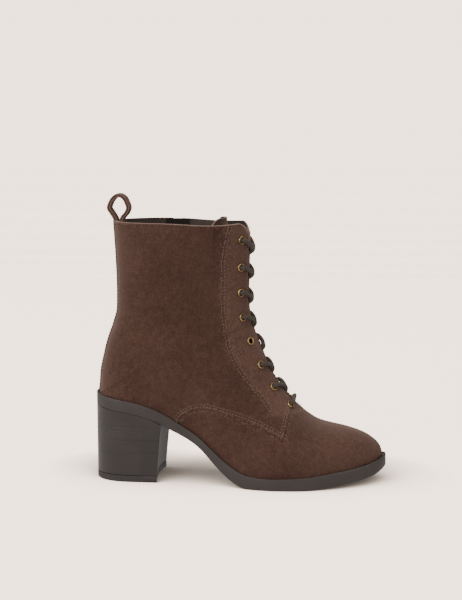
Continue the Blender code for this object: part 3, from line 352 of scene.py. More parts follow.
class Last:
    def __init__(self):
        self.front = front_path()
        self.front_lengths = path_lengths(self.front)
        self.feather = feather()
        self.keys = np.concatenate([self.even_keys(0, 1, FINE_ROWS)[:-1], self.even_keys(1, 2, FINE_ROWS)])
        self.points = np.array([self.section(key) for key in self.keys])
        lengths = np.array([path_lengths(row) for row in self.points])
        self.arcs = lengths - lengths[:, FINE_SAMPLES : FINE_SAMPLES + 1]
        self.normals = self.sample_normals()

    def start(self, key):
        x, _, _ = self.feather
        if key <= 1:
            foot = x[-1] + (x[0] - x[-1]) * key
            return foot, float(sole_bed(foot)) + BED_GAP
        bed = float(sole_bed(x[0])) + BED_GAP
        z = bed + (BOOT_HEIGHT - bed) * (key - 1)
        return float(back_line(z)), z

    def above(self, x):
        top = int(np.argmin(self.front[:, 0]))
        return float(np.interp(-x, -self.front[:top, 0], self.front_lengths[:top]))

    def end(self, key):
        straight = 1 - FAN_START
        if key <= straight:
            return self.above(self.start(key)[0])
        total = self.front_lengths[-1]
        rows = [Keyed(straight, self.above(self.start(straight)[0]) / total)]
        rows += [Keyed(1 - row.foot + row.rise, row.front) for row in SECTIONS if row.front is not None]
        return float(through(rows, "key", "value", key)) * total

    def on_front(self, distance):
        return along_path(self.front, np.array([distance]))[0]

    def section(self, key):
        (x0, z0), (x1, z1) = self.start(key), self.on_front(self.end(key))
        s = eased(FINE_SAMPLES)
        x, z = x0 + (x1 - x0) * s, z0 + (z1 - z0) * s
        stations, halves, centres = self.feather
        foot_half = float(np.interp(x0, stations, halves)) if key < 1 else 0.0
        foot_centre = float(np.interp(x0, stations, centres)) if key < 1 else 0.0
        half = by_key("sole", key) * float(np.interp(max(x0, HEEL_ROUND), stations, halves))
        half += (by_key("ankle", key) * ANKLE_WIDTH + by_key("shaft", key) * SHAFT_WIDTH) / 2
        rise = np.clip((z - SEAT_HEIGHT) / (BOOT_HEIGHT - SEAT_HEIGHT), 0, 1)
        reach = ANKLE_ROUND + (COLLAR_ROUND - ANKLE_ROUND) * rise
        widest, power = by_key("widest", key), by_key("round", key)
        front = np.clip((s - widest) / (1 - widest), 0, 1)
        rounding = (1 - front**power) ** (1 / power)
        half = half * bulge((x - back_line(z)) / reach, HEEL_BLUNT) * rounding
        half += (foot_half - half[0]) * (1 - smooth(s / FOOT_BLEND)) * rounding
        centre = foot_centre + (by_key("shift", key) * BALL_WIDTH - foot_centre) * s
        outer = np.stack([x, centre - half, z], 1)
        return np.concatenate([outer, np.stack([x, centre + half, z], 1)[-2::-1]])

    def even_keys(self, first, last, count):
        trial = first + (last - first) * eased(400)
        stations, halves, _ = self.feather
        starts = np.array([self.start(key) for key in trial])
        side = np.where(trial < 1, np.interp(starts[:, 0], stations, halves), 0)
        lengths = path_lengths(np.stack([starts[:, 0], side, starts[:, 1]], 1))
        return np.interp(np.linspace(0, lengths[-1], count + 1), lengths, trial)

    def sample_normals(self):
        normal = np.cross(np.gradient(self.points, axis=1), np.gradient(self.points, axis=0))
        normal[0] = normal[1].mean(0)
        behind = self.keys >= 1
        seam = (normal[behind, 0] + normal[behind, -1]) * (1, 0, 1)
        normal[behind, 0] = normal[behind, -1] = seam
        return normal / np.maximum(np.linalg.norm(normal, axis=2, keepdims=True), 1e-15)

    def limits(self, key):
        return [float(np.interp(key, self.keys, self.arcs[:, end])) for end in (0, -1)]

    def row(self, key, arcs, out=0.0):
        """Points of one section at these arcs, moved outwards, and the surface's normals there."""
        i = int(np.clip(np.searchsorted(self.keys, key) - 1, 0, len(self.keys) - 2))
        t = (key - self.keys[i]) / (self.keys[i + 1] - self.keys[i])
        both = 0
        for row, share in ((i, 1 - t), (i + 1, t)):
            columns = np.concatenate([self.points[row], self.normals[row]], 1).T
            both = both + share * np.stack([np.interp(arcs, self.arcs[row], column) for column in columns], 1)
        normal = both[:, 3:] / np.maximum(np.linalg.norm(both[:, 3:], axis=1, keepdims=True), 1e-9)
        return both[:, :3] + np.reshape(out, (-1, 1)) * normal, normal

    def locate(self, x, z, inner_side=True):
        """The key and the arc of a point of one side, given where it is in the side view."""

        def beside(key):
            (x0, z0), (x1, z1) = self.start(key), self.on_front(self.end(key))
            return (x1 - x0) * (z - z0) - (z1 - z0) * (x - x0)

        low, high = 1 - FAN_START, 2.0
        for _ in range(32):
            middle = (low + high) / 2
            low, high = (middle, high) if beside(middle) > 0 else (low, middle)
        key = (low + high) / 2
        (x0, z0), (x1, z1) = self.start(key), self.on_front(self.end(key))
        share = math.hypot(x - x0, z - z0) / math.hypot(x1 - x0, z1 - z0)
        arcs = [float(np.interp(key, self.keys, column)) for column in self.arcs.T]
        sample = float(np.interp(share, eased(FINE_SAMPLES), np.arange(FINE_SAMPLES + 1)))
        if inner_side:
            sample = 2 * FINE_SAMPLES - sample
        return key, float(np.interp(sample, np.arange(len(arcs)), arcs))


last = Last()
THROAT_KEY = 1 - THROAT
FRONT_KEYS = np.linspace(1 - FAN_START, 2, 300)
FRONT_ENDS = np.array([last.end(key) for key in FRONT_KEYS])
print("front line", round(1000 * last.front_lengths[-1]), "mm from the toe to the collar")

# %% Throat and collar


def key_below_collar(distance):
    return float(np.interp(last.front_lengths[-1] - distance, FRONT_ENDS, FRONT_KEYS))


def half_gap(key):
    share = smooth((key - THROAT_KEY) / (2 - THROAT_KEY))
    return (THROAT_GAP + (COLLAR_GAP - THROAT_GAP) * share) / 2


def collar_drop(key, arcs):
    """The collar's shallow dip, which draws the rows near the top edge down with it."""
    lowest, highest = last.limits(2.0)
    share = abs(np.asarray(arcs)) / max(-lowest, highest)
    fade = max(0.0, (key - DIP_START) / (2 - DIP_START)) ** 2
    return COLLAR_DIP * np.exp(-(((share - DIP_PLACE) / DIP_REACH) ** 2)) * fade


def surface(key, arcs, out=0.0):
    """Points on the upper at one key, and their normals."""
    points, normals = last.row(key, np.atleast_1d(arcs), out)
    points[:, 2] -= collar_drop(key, np.atleast_1d(arcs))
    return points, normals

# %% [markdown]
# ## Camera and light
#
# The photo looks almost straight at the boot's outer side, from a little above and with a long lens. The
# light is a wide overhead bank with a stronger one from the front left, so that the suede shows its form.
# A narrow strip on the left draws the bright line down the back of the heel.

# %% Camera
AZIMUTH, ELEVATION, DISTANCE = math.radians(5.91), math.radians(7.66), 1.0626
AIM = Vector(to_frame((0.11611, 0, 0.15425)))

level = math.cos(ELEVATION)
back = Vector((math.sin(AZIMUTH) * level, -math.cos(AZIMUTH) * level, math.sin(ELEVATION)))
camera = bpy.data.objects.new("camera", bpy.data.cameras.new("camera"))
camera.data.lens, camera.data.sensor_width, camera.data.clip_start = 75, 36, 0.01
camera.location = AIM + DISTANCE * back
camera.rotation_euler = back.to_track_quat("Z", "Y").to_euler()
bpy.context.scene.collection.objects.link(camera)
bpy.context.scene.camera = camera

# %% Lights
Lamp = namedtuple("Lamp", "name place aim size power colour")
LAMPS = (
    Lamp("overhead bank", (0.05, -0.10, 1.60), (0.08, 0, 0.10), 1.70, 15.0, (1.0, 0.985, 0.965)),
    Lamp("front left bank", (-1.10, -1.50, 0.95), (0.08, 0, 0.10), 1.10, 21.0, (1.0, 0.985, 0.97)),
    Lamp("front right fill", (1.40, -1.20, 0.80), (0.10, 0, 0.12), 1.20, 6.5, (0.98, 0.99, 1.0)),
    Lamp("back light", (-0.90, 1.10, 0.70), (0.05, 0, 0.12), 0.80, 2.0, (1.0, 1.0, 1.0)),
    Lamp("left strip", (-1.50, -0.35, 0.45), (0.00, 0, 0.06), 0.50, 4.0, (1.0, 1.0, 0.98)),
)
for lamp in LAMPS:
    data = bpy.data.lights.new(lamp.name, "AREA")
    data.size, data.energy, data.color = lamp.size, lamp.power, lamp.colour
    light = bpy.data.objects.new(lamp.name, data)
    light.location = lamp.place
    light.rotation_euler = (Vector(lamp.place) - Vector(lamp.aim)).to_track_quat("Z", "Y").to_euler()
    bpy.context.scene.collection.objects.link(light)

# %% [markdown]
# ## Building materials in code
#
# `node` adds one shader node and takes a number, a colour or another node's output for each socket.
# An effect that several materials share is a node group with named sockets, built once.

# %% Shader helpers
PALE = (0.791, 0.747, 0.712, 1)


def node(tree, kind, sockets=(), **settings):
    made = tree.nodes.new(kind)
    for name, value in settings.items():
        setattr(made, name, value)
    for socket, value in dict(sockets).items():
        if isinstance(value, bpy.types.NodeSocket):
            tree.links.new(value, made.inputs[socket])
        else:
            made.inputs[socket].default_value = value
    return made


def noise(tree, where, scale, detail=2.0, roughness=0.5):
    sockets = {"Vector": where, "Scale": scale, "Detail": detail, "Roughness": roughness}
    return node(tree, "ShaderNodeTexNoise", sockets).outputs["Fac"]


def remap(tree, value, low, high, to_low=0.0, to_high=1.0):
    sockets = {"Value": value, "From Min": low, "From Max": high, "To Min": to_low, "To Max": to_high}
    return node(tree, "ShaderNodeMapRange", sockets, clamp=True).outputs["Result"]


def mixed(tree, share, first, second, blend="MIX"):
    made = node(tree, "ShaderNodeMix", data_type="RGBA", blend_type=blend)
    for place, value in ((0, share), (6, first), (7, second)):
        if isinstance(value, bpy.types.NodeSocket):
            tree.links.new(value, made.inputs[place])
        else:
            made.inputs[place].default_value = value
    return made.outputs[2]


def sums(tree, operation, first, second, third=None):
    made = node(tree, "ShaderNodeMath", operation=operation)
    for place, value in enumerate((first, second, third)):
        if isinstance(value, bpy.types.NodeSocket):
            tree.links.new(value, made.inputs[place])
        elif value is not None:
            made.inputs[place].default_value = value
    return made.outputs[0]


def mask(tree, name):
    return node(tree, "ShaderNodeAttribute", attribute_name=name).outputs["Fac"]


def effect(name, inputs, outputs):
    """A node group with named sockets. inputs: (name, type, value), outputs: (name, type)."""
    tree = bpy.data.node_groups.new(name, "ShaderNodeTree")
    for label, kind, value in inputs:
        socket = tree.interface.new_socket(label, in_out="INPUT", socket_type=f"NodeSocket{kind}")
        socket.default_value = value
    for label, kind in outputs:
        tree.interface.new_socket(label, in_out="OUTPUT", socket_type=f"NodeSocket{kind}")
    return tree, tree.nodes.new("NodeGroupInput"), tree.nodes.new("NodeGroupOutput")


def finish_of(name, colour, fixed):
    """A material and its Principled shader. fixed holds what is the same all over the surface."""
    made = bpy.data.materials.new(name)
    made.use_nodes = True
    made.diffuse_color = colour
    shader = made.node_tree.nodes["Principled BSDF"]
    shader.inputs["Base Color"].default_value = colour
    for socket, value in fixed.items():
        shader.inputs[socket].default_value = value
    return made, made.node_tree, shader


def use(tree, group, sockets):
    made = node(tree, "ShaderNodeGroup")
    made.node_tree = group
    for socket, value in sockets.items():
        if isinstance(value, bpy.types.NodeSocket):
            tree.links.new(value, made.inputs[socket])
        else:
            made.inputs[socket].default_value = value
    return made.outputs


def bumped(tree, shader, height, distance, strength=1.0):
    bump = node(tree, "ShaderNodeBump", {"Height": height, "Distance": distance, "Strength": strength})
    tree.links.new(bump.outputs["Normal"], shader.inputs["Normal"])


# %% [markdown]
# ## Floor and backdrop
#
# The photo's floor runs into its backdrop without a line. Here it is one sheet that bends up behind the
# boot. Lamps strong enough to make it as pale as the photo would wash out the suede, so what the camera
# sees of it glows by itself and other rays meet a quieter floor. An occlusion node that leans towards the
# front light dims the glow where the boot stands in the way, as a short soft shadow behind it.

# %% Floor
FLOOR_TINT, FLOOR_GLOW, FLOOR_BOUNCE, SKY_LIGHT = (1.0, 0.81, 0.665, 1), 3.45, 0.62, 0.55
TOWARDS_LIGHT, SHADOW_DEPTH, SHADOW_REACH = (-0.12, -0.72, 0.68), 3.2, 0.065
FLOOR_BEND, FLOOR_FRONT, FLOOR_TOP, FLOOR_HALF_WIDTH = 1.40, -3.0, 3.6, 4.0
floor_paint, tree, shader = finish_of("floor", PALE, {"Roughness": 0.95, "Specular IOR Level": 0.0})
shader.inputs["Base Color"].default_value = (0.30, 0.285, 0.27, 1)
seen = node(tree, "ShaderNodeLightPath").outputs["Is Camera Ray"]
lean = node(tree, "ShaderNodeCombineXYZ", dict(zip("XYZ", TOWARDS_LIGHT))).outputs["Vector"]
sockets = {"Distance": SHADOW_REACH, "Normal": lean}
open_sky = node(tree, "ShaderNodeAmbientOcclusion", sockets, samples=16).outputs["AO"]
glow = sums(tree, "MULTIPLY", sums(tree, "POWER", open_sky, SHADOW_DEPTH), FLOOR_GLOW)
glow = sums(tree, "MULTIPLY_ADD", sums(tree, "SUBTRACT", glow, FLOOR_BOUNCE), seen, FLOOR_BOUNCE)
tree.links.new(mixed(tree, seen, PALE, FLOOR_TINT), shader.inputs["Emission Color"])
tree.links.new(glow, shader.inputs["Emission Strength"])
turns = np.linspace(0, math.pi / 2, 25)
bend = [(FLOOR_BEND * (1 + math.sin(a)), FLOOR_BEND * (1 - math.cos(a))) for a in turns]
curve = [(FLOOR_FRONT, 0.0), *bend, (2 * FLOOR_BEND, FLOOR_TOP)]
sweep = bpy.data.meshes.new("floor")
points = [(x, y, z) for y, z in curve for x in (-FLOOR_HALF_WIDTH, FLOOR_HALF_WIDTH)]
sweep.from_pydata(points, [], [(2 * i, 2 * i + 1, 2 * i + 3, 2 * i + 2) for i in range(len(curve) - 1)])
sweep.shade_smooth()
sweep.materials.append(floor_paint)
floor = bpy.data.objects.new("floor", sweep)
bpy.context.scene.collection.objects.link(floor)
floor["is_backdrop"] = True
world = bpy.data.worlds.new("studio")
world.use_nodes = True
air, backdrop = world.node_tree, world.node_tree.nodes["Background"].inputs
seen = node(air, "ShaderNodeLightPath").outputs["Is Camera Ray"]
air.links.new(mixed(air, seen, PALE, FLOOR_TINT), backdrop["Color"])
air.links.new(sums(air, "MULTIPLY_ADD", seen, FLOOR_GLOW - SKY_LIGHT, SKY_LIGHT), backdrop["Strength"])
bpy.context.scene.world = world
print("camera", round(DISTANCE, 3), "m away,", len(LAMPS), "lamps")

# %% [markdown]
# ## Suede
#
# Suede is the split side of the hide: a short nap that scatters light, with patches brushed light or
# dark, paler fibres where it is worn, and no shine. The group makes the patches from three sizes of
# noise. The mesh carries two masks. The first is high along seams, edges and stitching, where the nap is
# worn pale, and also adds a painted highlight on the facings and the toe. The second is painted light
# and shade: a painted highlight on the facings and the toe and painted shade on the shaft.

# %% Nap group
nap, group_in, group_out = effect(
    "nap",
    [
        ("Deep", "Color", (0.04, 0.02, 0.015, 1)),
        ("Pale", "Color", (0.1, 0.05, 0.04, 1)),
        ("Rubbed", "Float", 0.0),
        ("Warm", "Float", 0.0),
        ("Size", "Float", 1.0),
    ],
    [("Colour", "Color"), ("Height", "Float")],
)
where = node(nap, "ShaderNodeTexCoord").outputs["Object"]
size = group_in.outputs["Size"]
cloud = noise(nap, where, sums(nap, "MULTIPLY", size, 26.0), 3.0, 0.55)
patch = noise(nap, where, sums(nap, "MULTIPLY", size, 210.0), 3.0, 0.6)
fibre = noise(nap, where, sums(nap, "MULTIPLY", size, 620.0), 3.0, 0.75)
share = sums(nap, "MULTIPLY_ADD", remap(nap, cloud, 0.32, 0.68), 0.32, 0.00)
share = sums(nap, "MULTIPLY_ADD", remap(nap, patch, 0.30, 0.70), 0.30, share)
share = sums(nap, "MULTIPLY_ADD", remap(nap, fibre, 0.30, 0.72), 0.34, share)
# Painted light and shade: the second mask lifts the tone on the facings and the toe and lowers it on the
# shaft.
share = sums(nap, "MULTIPLY_ADD", group_in.outputs["Warm"], 0.42, share)
base = mixed(nap, share, group_in.outputs["Deep"], group_in.outputs["Pale"])
fleck = remap(nap, noise(nap, where, sums(nap, "MULTIPLY", size, 620.0), 1.0, 0.5), 0.50, 0.66)
# Pale worn fibres along seams and edges, plus a painted highlight where the first mask covers the facings and
# the toe.
amount = sums(nap, "MULTIPLY", sums(nap, "MULTIPLY_ADD", fleck, 0.75, 0.10), group_in.outputs["Rubbed"])
bright = mixed(nap, 1.0, group_in.outputs["Pale"], (1.85, 2.05, 2.15, 1), "MULTIPLY")
nap.links.new(mixed(nap, amount, base, bright), group_out.inputs["Colour"])
height = sums(nap, "MULTIPLY_ADD", fibre, 0.6, sums(nap, "MULTIPLY", patch, 0.4))
nap.links.new(height, group_out.inputs["Height"])

# %% Suede materials
SUEDE_DEEP, SUEDE_PALE = (0.040, 0.0163, 0.0108, 1), (0.094, 0.0480, 0.0360, 1)
SHEEN = {"Roughness": 0.95, "Specular IOR Level": 0.12, "Sheen Weight": 0.22, "Sheen Roughness": 0.55}


def suede(name, deep=SUEDE_DEEP, pale=SUEDE_PALE):
    made, tree, shader = finish_of(name, pale, {**SHEEN, "Sheen Tint": (0.9, 0.72, 0.62, 1)})
    # The first mask is worn nap with a painted highlight, the second is painted light and shade.
    masks = {"Rubbed": mask(tree, "rubbed"), "Warm": mask(tree, "warm")}
    outputs = use(tree, nap, {"Deep": deep, "Pale": pale, **masks})
    tree.links.new(outputs["Colour"], shader.inputs["Base Color"])
    bumped(tree, shader, outputs["Height"], 0.00035, 0.55)
    return made


upper_suede = suede("brushed suede")
raw_edge = suede("raw suede edge", (0.120, 0.066, 0.048, 1), (0.210, 0.130, 0.100, 1))
tongue_suede = suede("tongue suede", (0.034, 0.0175, 0.0135, 1), (0.072, 0.0420, 0.0330, 1))

# %% [markdown]
# ## Rubber, lining, thread, lace and brass
#
# The sole and heel are moulded rubber with a soft sheen and a faint grain. The lining is dark leather.
# The lace is a round braid, so its pattern follows the cord's own UV map. The eyelets and the zip are
# brass, darkened in patches that a noise lays over them.

# %% Grain group
grain, group_in, group_out = effect(
    "grain",
    [
        ("Colour", "Color", (0.05, 0.04, 0.035, 1)),
        ("Size", "Float", 1.0),
        ("Mottle", "Float", 0.15),
        ("Base Roughness", "Float", 0.5),
    ],
    [("Colour", "Color"), ("Height", "Float"), ("Roughness", "Float")],
)
where = node(grain, "ShaderNodeTexCoord").outputs["Object"]
size = group_in.outputs["Size"]
cloud = noise(grain, where, sums(grain, "MULTIPLY", size, 45.0), 3.0)
speck = noise(grain, where, sums(grain, "MULTIPLY", size, 900.0), 3.0, 0.6)
mottle = group_in.outputs["Mottle"]
lift = sums(grain, "MULTIPLY", remap(grain, cloud, 0.3, 0.7), mottle)
fine = sums(grain, "MULTIPLY", mottle, 0.5)
lift = sums(grain, "MULTIPLY_ADD", remap(grain, speck, 0.3, 0.7), fine, lift)
pale = mixed(grain, 1.0, group_in.outputs["Colour"], (1.9, 1.9, 1.9, 1), "MULTIPLY")
grain.links.new(mixed(grain, lift, group_in.outputs["Colour"], pale), group_out.inputs["Colour"])
grain.links.new(speck, group_out.inputs["Height"])
smoothest = sums(grain, "SUBTRACT", group_in.outputs["Base Roughness"], 0.08)
rough = sums(grain, "MULTIPLY_ADD", speck, 0.16, smoothest)
grain.links.new(rough, group_out.inputs["Roughness"])

# %% Rubber and leather
RUBBER = (0.0340, 0.0264, 0.0232, 1)


def grained(name, colour, roughness, size=1.0, mottle=0.3, bump=0.0001, **fixed):
    made, tree, shader = finish_of(name, colour, fixed)
    sockets = {"Colour": colour, "Size": size, "Mottle": mottle, "Base Roughness": roughness}
    outputs = use(tree, grain, sockets)
    tree.links.new(outputs["Colour"], shader.inputs["Base Color"])
    tree.links.new(outputs["Roughness"], shader.inputs["Roughness"])
    bumped(tree, shader, outputs["Height"], bump, 0.5)
    return made, tree, shader, outputs


sole_rubber = grained("sole rubber", RUBBER, 0.52)[0]
tread_rubber = grained("top piece rubber", (0.0262, 0.0208, 0.0196, 1), 0.62)[0]
DULL = {"Specular IOR Level": 0.22}
lining = grained("dark lining leather", (0.0440, 0.0325, 0.0270, 1), 0.75, 1.6, 0.5, 0.0002, **DULL)[0]
insole_leather = grained("insole leather", (0.060, 0.0440, 0.0360, 1), 0.55, 1.2, 0.4, 0.0002)[0]
thread = grained("waxed thread", (0.132, 0.0850, 0.0680, 1), 0.7, 2.0, 0.4)[0]
# Painted shade: dark beads that stand for the shade inside the collar's needle holes.
hole_shade = grained("needle hole", (0.020, 0.0105, 0.0080, 1), 0.9)[0]

# %% [markdown]
# ## The heel's stacked layers
#
# A real stacked heel is glued from slices of leather, and this one imitates them: thin dark streaks run
# level round its middle. A noise that is squeezed in height makes them. The breast, which looks forward,
# is duller than the polished sides and is painted a little darker as painted shade, so its colour and
# roughness follow the surface's own direction.

# %% Heel with its stacked layers
heel_rubber, tree, shader, outputs = grained("stacked heel", (0.0280, 0.0222, 0.0210, 1), 0.34)
where = node(tree, "ShaderNodeTexCoord").outputs["Object"]
flat = node(tree, "ShaderNodeMapping", {"Vector": where, "Scale": (9.0, 9.0, 330.0)}).outputs["Vector"]
layer = noise(tree, flat, 1.0, 2.0, 0.5)
height_up = node(tree, "ShaderNodeSeparateXYZ", {"Vector": where}).outputs["Z"]
band = sums(tree, "MULTIPLY", remap(tree, height_up, 0.012, 0.026), remap(tree, height_up, 0.056, 0.046))
streak = sums(tree, "MULTIPLY", remap(tree, layer, 0.52, 0.66), band)
colour = mixed(tree, sums(tree, "MULTIPLY", streak, 0.30), outputs["Colour"], (0.013, 0.0104, 0.0096, 1))
normal = node(tree, "ShaderNodeNewGeometry").outputs["Normal"]
forward = node(tree, "ShaderNodeSeparateXYZ", {"Vector": normal})
breast = remap(tree, forward.outputs["X"], 0.60, 0.95)
# Painted shade: the forward-looking breast takes a darker colour, chosen by the surface's direction.
colour = mixed(tree, breast, colour, (0.0270, 0.0235, 0.0225, 1))
dull = sums(tree, "MAXIMUM", outputs["Roughness"], sums(tree, "MULTIPLY", breast, 0.52))
tree.links.new(dull, shader.inputs["Roughness"])
tree.links.new(colour, shader.inputs["Base Color"])
relief = sums(tree, "MULTIPLY_ADD", streak, -0.8, sums(tree, "MULTIPLY", outputs["Height"], 0.25))
bumped(tree, shader, relief, 0.0003, 0.5)

# %% Woven and braided finishes
braid, group_in, group_out = effect(
    "braid",
    [("Colour", "Color", (0.06, 0.05, 0.04, 1)), ("Runs", "Float", 5.0), ("Pitch", "Float", 3.0)],
    [("Colour", "Color"), ("Height", "Float")],
)
uv = node(braid, "ShaderNodeUVMap", uv_map="along").outputs["UV"]
parts = node(braid, "ShaderNodeSeparateXYZ", {"Vector": uv})
angle = sums(braid, "MULTIPLY", parts.outputs["Y"], group_in.outputs["Runs"])
length = sums(braid, "MULTIPLY", parts.outputs["X"], group_in.outputs["Pitch"])
waves = []
for turn in (1.0, -1.0):
    phase = sums(braid, "MULTIPLY_ADD", angle, turn, length)
    wave = sums(braid, "SINE", sums(braid, "MULTIPLY", phase, math.pi), 0.0)
    waves.append(sums(braid, "ABSOLUTE", wave, 0.0))
yarn = sums(braid, "MAXIMUM", *waves)
# Painted shade in the grooves between the yarns and a painted highlight on their crowns: the colour follows
# the braid's relief.
shade = remap(braid, yarn, 0.55, 1.0, 0.45, 1.25)
grey = node(braid, "ShaderNodeCombineXYZ", {"X": shade, "Y": shade, "Z": shade}).outputs["Vector"]
braid.links.new(mixed(braid, 1.0, group_in.outputs["Colour"], grey, "MULTIPLY"), group_out.inputs["Colour"])
braid.links.new(yarn, group_out.inputs["Height"])


YARN = {"Roughness": 0.85, "Specular IOR Level": 0.2, "Sheen Weight": 0.1}


def woven(name, colour, runs, pitch, bump):
    made, tree, shader = finish_of(name, colour, YARN)
    outputs = use(tree, braid, {"Colour": colour, "Runs": runs, "Pitch": pitch})
    tree.links.new(outputs["Colour"], shader.inputs["Base Color"])
    bumped(tree, shader, outputs["Height"], bump, 0.8)
    return made


lace_braid = woven("braided lace", (0.0700, 0.0540, 0.0430, 1), 5.0, 500.0, 0.0004)
tape_weave = woven("woven zip tape", (0.030, 0.0210, 0.0170, 1), 900.0, 900.0, 0.0001)

# %% Antique brass
brass, tree, shader = finish_of("antique brass", (0.60, 0.40, 0.17, 1), {"Metallic": 1.0})
where = node(tree, "ShaderNodeTexCoord").outputs["Object"]
tarnish = remap(tree, noise(tree, where, 420.0, 3.0, 0.6), 0.38, 0.66)
colour = mixed(tree, tarnish, (0.560, 0.385, 0.175, 1), (0.150, 0.092, 0.042, 1))
tree.links.new(colour, shader.inputs["Base Color"])
tree.links.new(remap(tree, tarnish, 0.0, 1.0, 0.24, 0.46), shader.inputs["Roughness"])
print(len(bpy.data.materials), "materials")

# %% [markdown]
# ## Mesh helpers
#
# `piece` makes an object from points in the boot's own sizes and moves them to the frame. A `wall` is a
# grid of the upper's surface given a thickness: outer faces, inner faces and the edges between them
# each have their own material slot.

# %% Mesh helpers


def piece(name, points, faces, materials, slots=None, smooth_below=40, uv=None):
    mesh = bpy.data.meshes.new(name)
    mesh.from_pydata(to_frame(points).tolist(), [], faces)
    for material in materials:
        mesh.materials.append(material)
    if slots is not None:
        mesh.polygons.foreach_set("material_index", slots)
    if uv is not None:
        layer = mesh.uv_layers.new(name="along")
        layer.data.foreach_set("uv", np.asarray(uv, float).ravel())
    work = bmesh.new()
    work.from_mesh(mesh)
    bmesh.ops.remove_doubles(work, verts=work.verts, dist=2e-6)
    bmesh.ops.dissolve_degenerate(work, edges=work.edges, dist=1e-7)
    bmesh.ops.recalc_face_normals(work, faces=work.faces)
    if work.calc_volume(signed=True) < 0:
        bmesh.ops.reverse_faces(work, faces=work.faces)
    work.to_mesh(mesh)
    work.free()
    mesh.shade_smooth()
    mesh.set_sharp_from_angle(angle=math.radians(smooth_below))
    obj = bpy.data.objects.new(name, mesh)
    bpy.context.scene.collection.objects.link(obj)
    return obj


def shell(name, outer, inner, materials, closed_cell=None, **settings):
    """outer and inner: grids of points, rows by columns by 3. closed_cell(i, j) is false at a gap."""
    rows, columns = outer.shape[:2]
    faces, slots, edges = [], [], Counter()

    def number(i, j, side):
        return side * rows * columns + i * columns + j

    for i in range(rows - 1):
        for j in range(columns - 1):
            if closed_cell is not None and not closed_cell(i, j):
                continue
            loop = ((i, j), (i, j + 1), (i + 1, j + 1), (i + 1, j))
            faces.append(tuple(number(a, b, 0) for a, b in loop))
            faces.append(tuple(number(a, b, 1) for a, b in loop[::-1]))
            slots += [0, 1]
            edges.update(frozenset(pair) for pair in zip(loop, loop[1:] + loop[:1]))
    places = np.concatenate([outer.reshape(-1, 3), inner.reshape(-1, 3)])
    joined = {}
    for edge in [edge for edge, uses in edges.items() if uses == 1]:
        key = frozenset(tuple(np.round(outer[a] * 2e5).astype(int)) for a in edge)
        joined.setdefault(key, []).append(tuple(edge))
    for key, found in joined.items():
        if len(found) == 1 and len(key) == 2:
            (a, b), (c, d) = found[0]
            faces.append((number(a, b, 0), number(c, d, 0), number(c, d, 1), number(a, b, 1)))
            slots.append(2)
    return piece(name, places, faces, materials, slots, **settings)


def plain_copy(obj):
    """The evaluated mesh of an object in place of its modifiers."""
    bpy.context.view_layer.update()
    graph = bpy.context.evaluated_depsgraph_get()
    settings = {"preserve_all_data_layers": True, "depsgraph": graph}
    made = bpy.data.meshes.new_from_object(obj.evaluated_get(graph), **settings)
    obj.modifiers.clear()
    obj.data = made
    return obj


def cut(obj, other, operation):
    step = obj.modifiers.new(operation.lower(), "BOOLEAN")
    step.operation, step.object, step.solver = operation, other, "EXACT"


def prism(name, outline, low, high, materials):
    """An outline of the side view carried across the boot. Its faces take the third material."""
    count = len(outline)
    points = [(x, y, z) for y in (low, high) for x, z in outline]
    faces = [tuple(range(count)), tuple(range(2 * count - 1, count - 1, -1))]
    faces += [(i, (i + 1) % count, count + (i + 1) % count, count + i) for i in range(count)]
    return piece(name, points, faces, materials, [2] * len(faces))


# %% [markdown]
# ## The upper's wall
#
# The wall is one sheet of suede backed with a dark lining, wrapped over the last. Below the throat it
# runs across the foot; above it the two facings stand apart. Soft folds are placed where the
# ankle bends: each is a trough with a slight ridge beside it, in the boot's own sizes.

# %% Wall grid
FOOT_ROWS, SHAFT_ROWS, SIDE_COLUMNS = 120, 84, 78
LAYER_BACK = 0.0003
ZIP_ALONG, ZIP_FOOT, ZIP_SLOT = 0.0655, 0.0720, 0.0084
EYELETS, EYELET_PITCH, EYELET_TOP, EYELET_INSET = 8, 0.0212, 0.0128, 0.0108
EYELET_RADIUS, EYELET_HOLE, EYELET_BARREL, EYELET_RIM = 0.0036, 0.0021, 0.0026, 0.0009
Fold = namedtuple("Fold", "x z along_x along_z length width depth")
FOLDS = (
    Fold(0.118, 0.128, 0.90, 0.44, 0.0150, 0.0024, 0.00055),
    Fold(0.100, 0.116, 0.97, 0.22, 0.0200, 0.0036, 0.00045),
    Fold(0.040, 0.146, 0.98, -0.20, 0.0170, 0.0040, 0.00050),
    Fold(0.034, 0.128, 0.97, 0.25, 0.0160, 0.0042, 0.00040),
    Fold(0.060, 0.100, 0.80, 0.60, 0.0240, 0.0050, 0.00030),
    Fold(0.150, 0.060, 0.30, 0.95, 0.0110, 0.0034, 0.00035),
    Fold(0.176, 0.044, 0.25, 0.97, 0.0120, 0.0036, 0.00035),
    Fold(0.186, 0.034, 0.35, 0.94, 0.0100, 0.0030, 0.00030),
)


def folds(points):
    """How far each point sinks into a fold or rises beside it."""
    depth = np.zeros(len(points))
    for fold in FOLDS:
        x, z = points[:, 0] - fold.x, points[:, 2] - fold.z
        along = (x * fold.along_x + z * fold.along_z) / fold.length
        off = (z * fold.along_x - x * fold.along_z) / fold.width
        across = 1.2 * np.exp(-((off - 1.4) ** 2)) - 1.6 * np.exp(-(off**2))
        depth += fold.depth * across * np.exp(-(along**2))
    return depth


def wall_keys():
    foot = last.even_keys(0, 1, FOOT_ROWS)
    foot[np.argmin(abs(foot - THROAT_KEY))] = THROAT_KEY
    return np.concatenate([foot, last.even_keys(1, 2, SHAFT_ROWS)[1:]])


def wall_columns(key, shrink=0.0):
    low, high = last.limits(key)
    shares = eased(SIDE_COLUMNS) * 0.35 + np.linspace(0, 1, SIDE_COLUMNS + 1) * 0.65
    gap = min(half_gap(key) + shrink, -low / 2)
    outer = -gap + (low + shrink + gap) * shares
    inner = gap + (high - shrink - gap) * shares
    return np.concatenate([outer[::-1], inner])


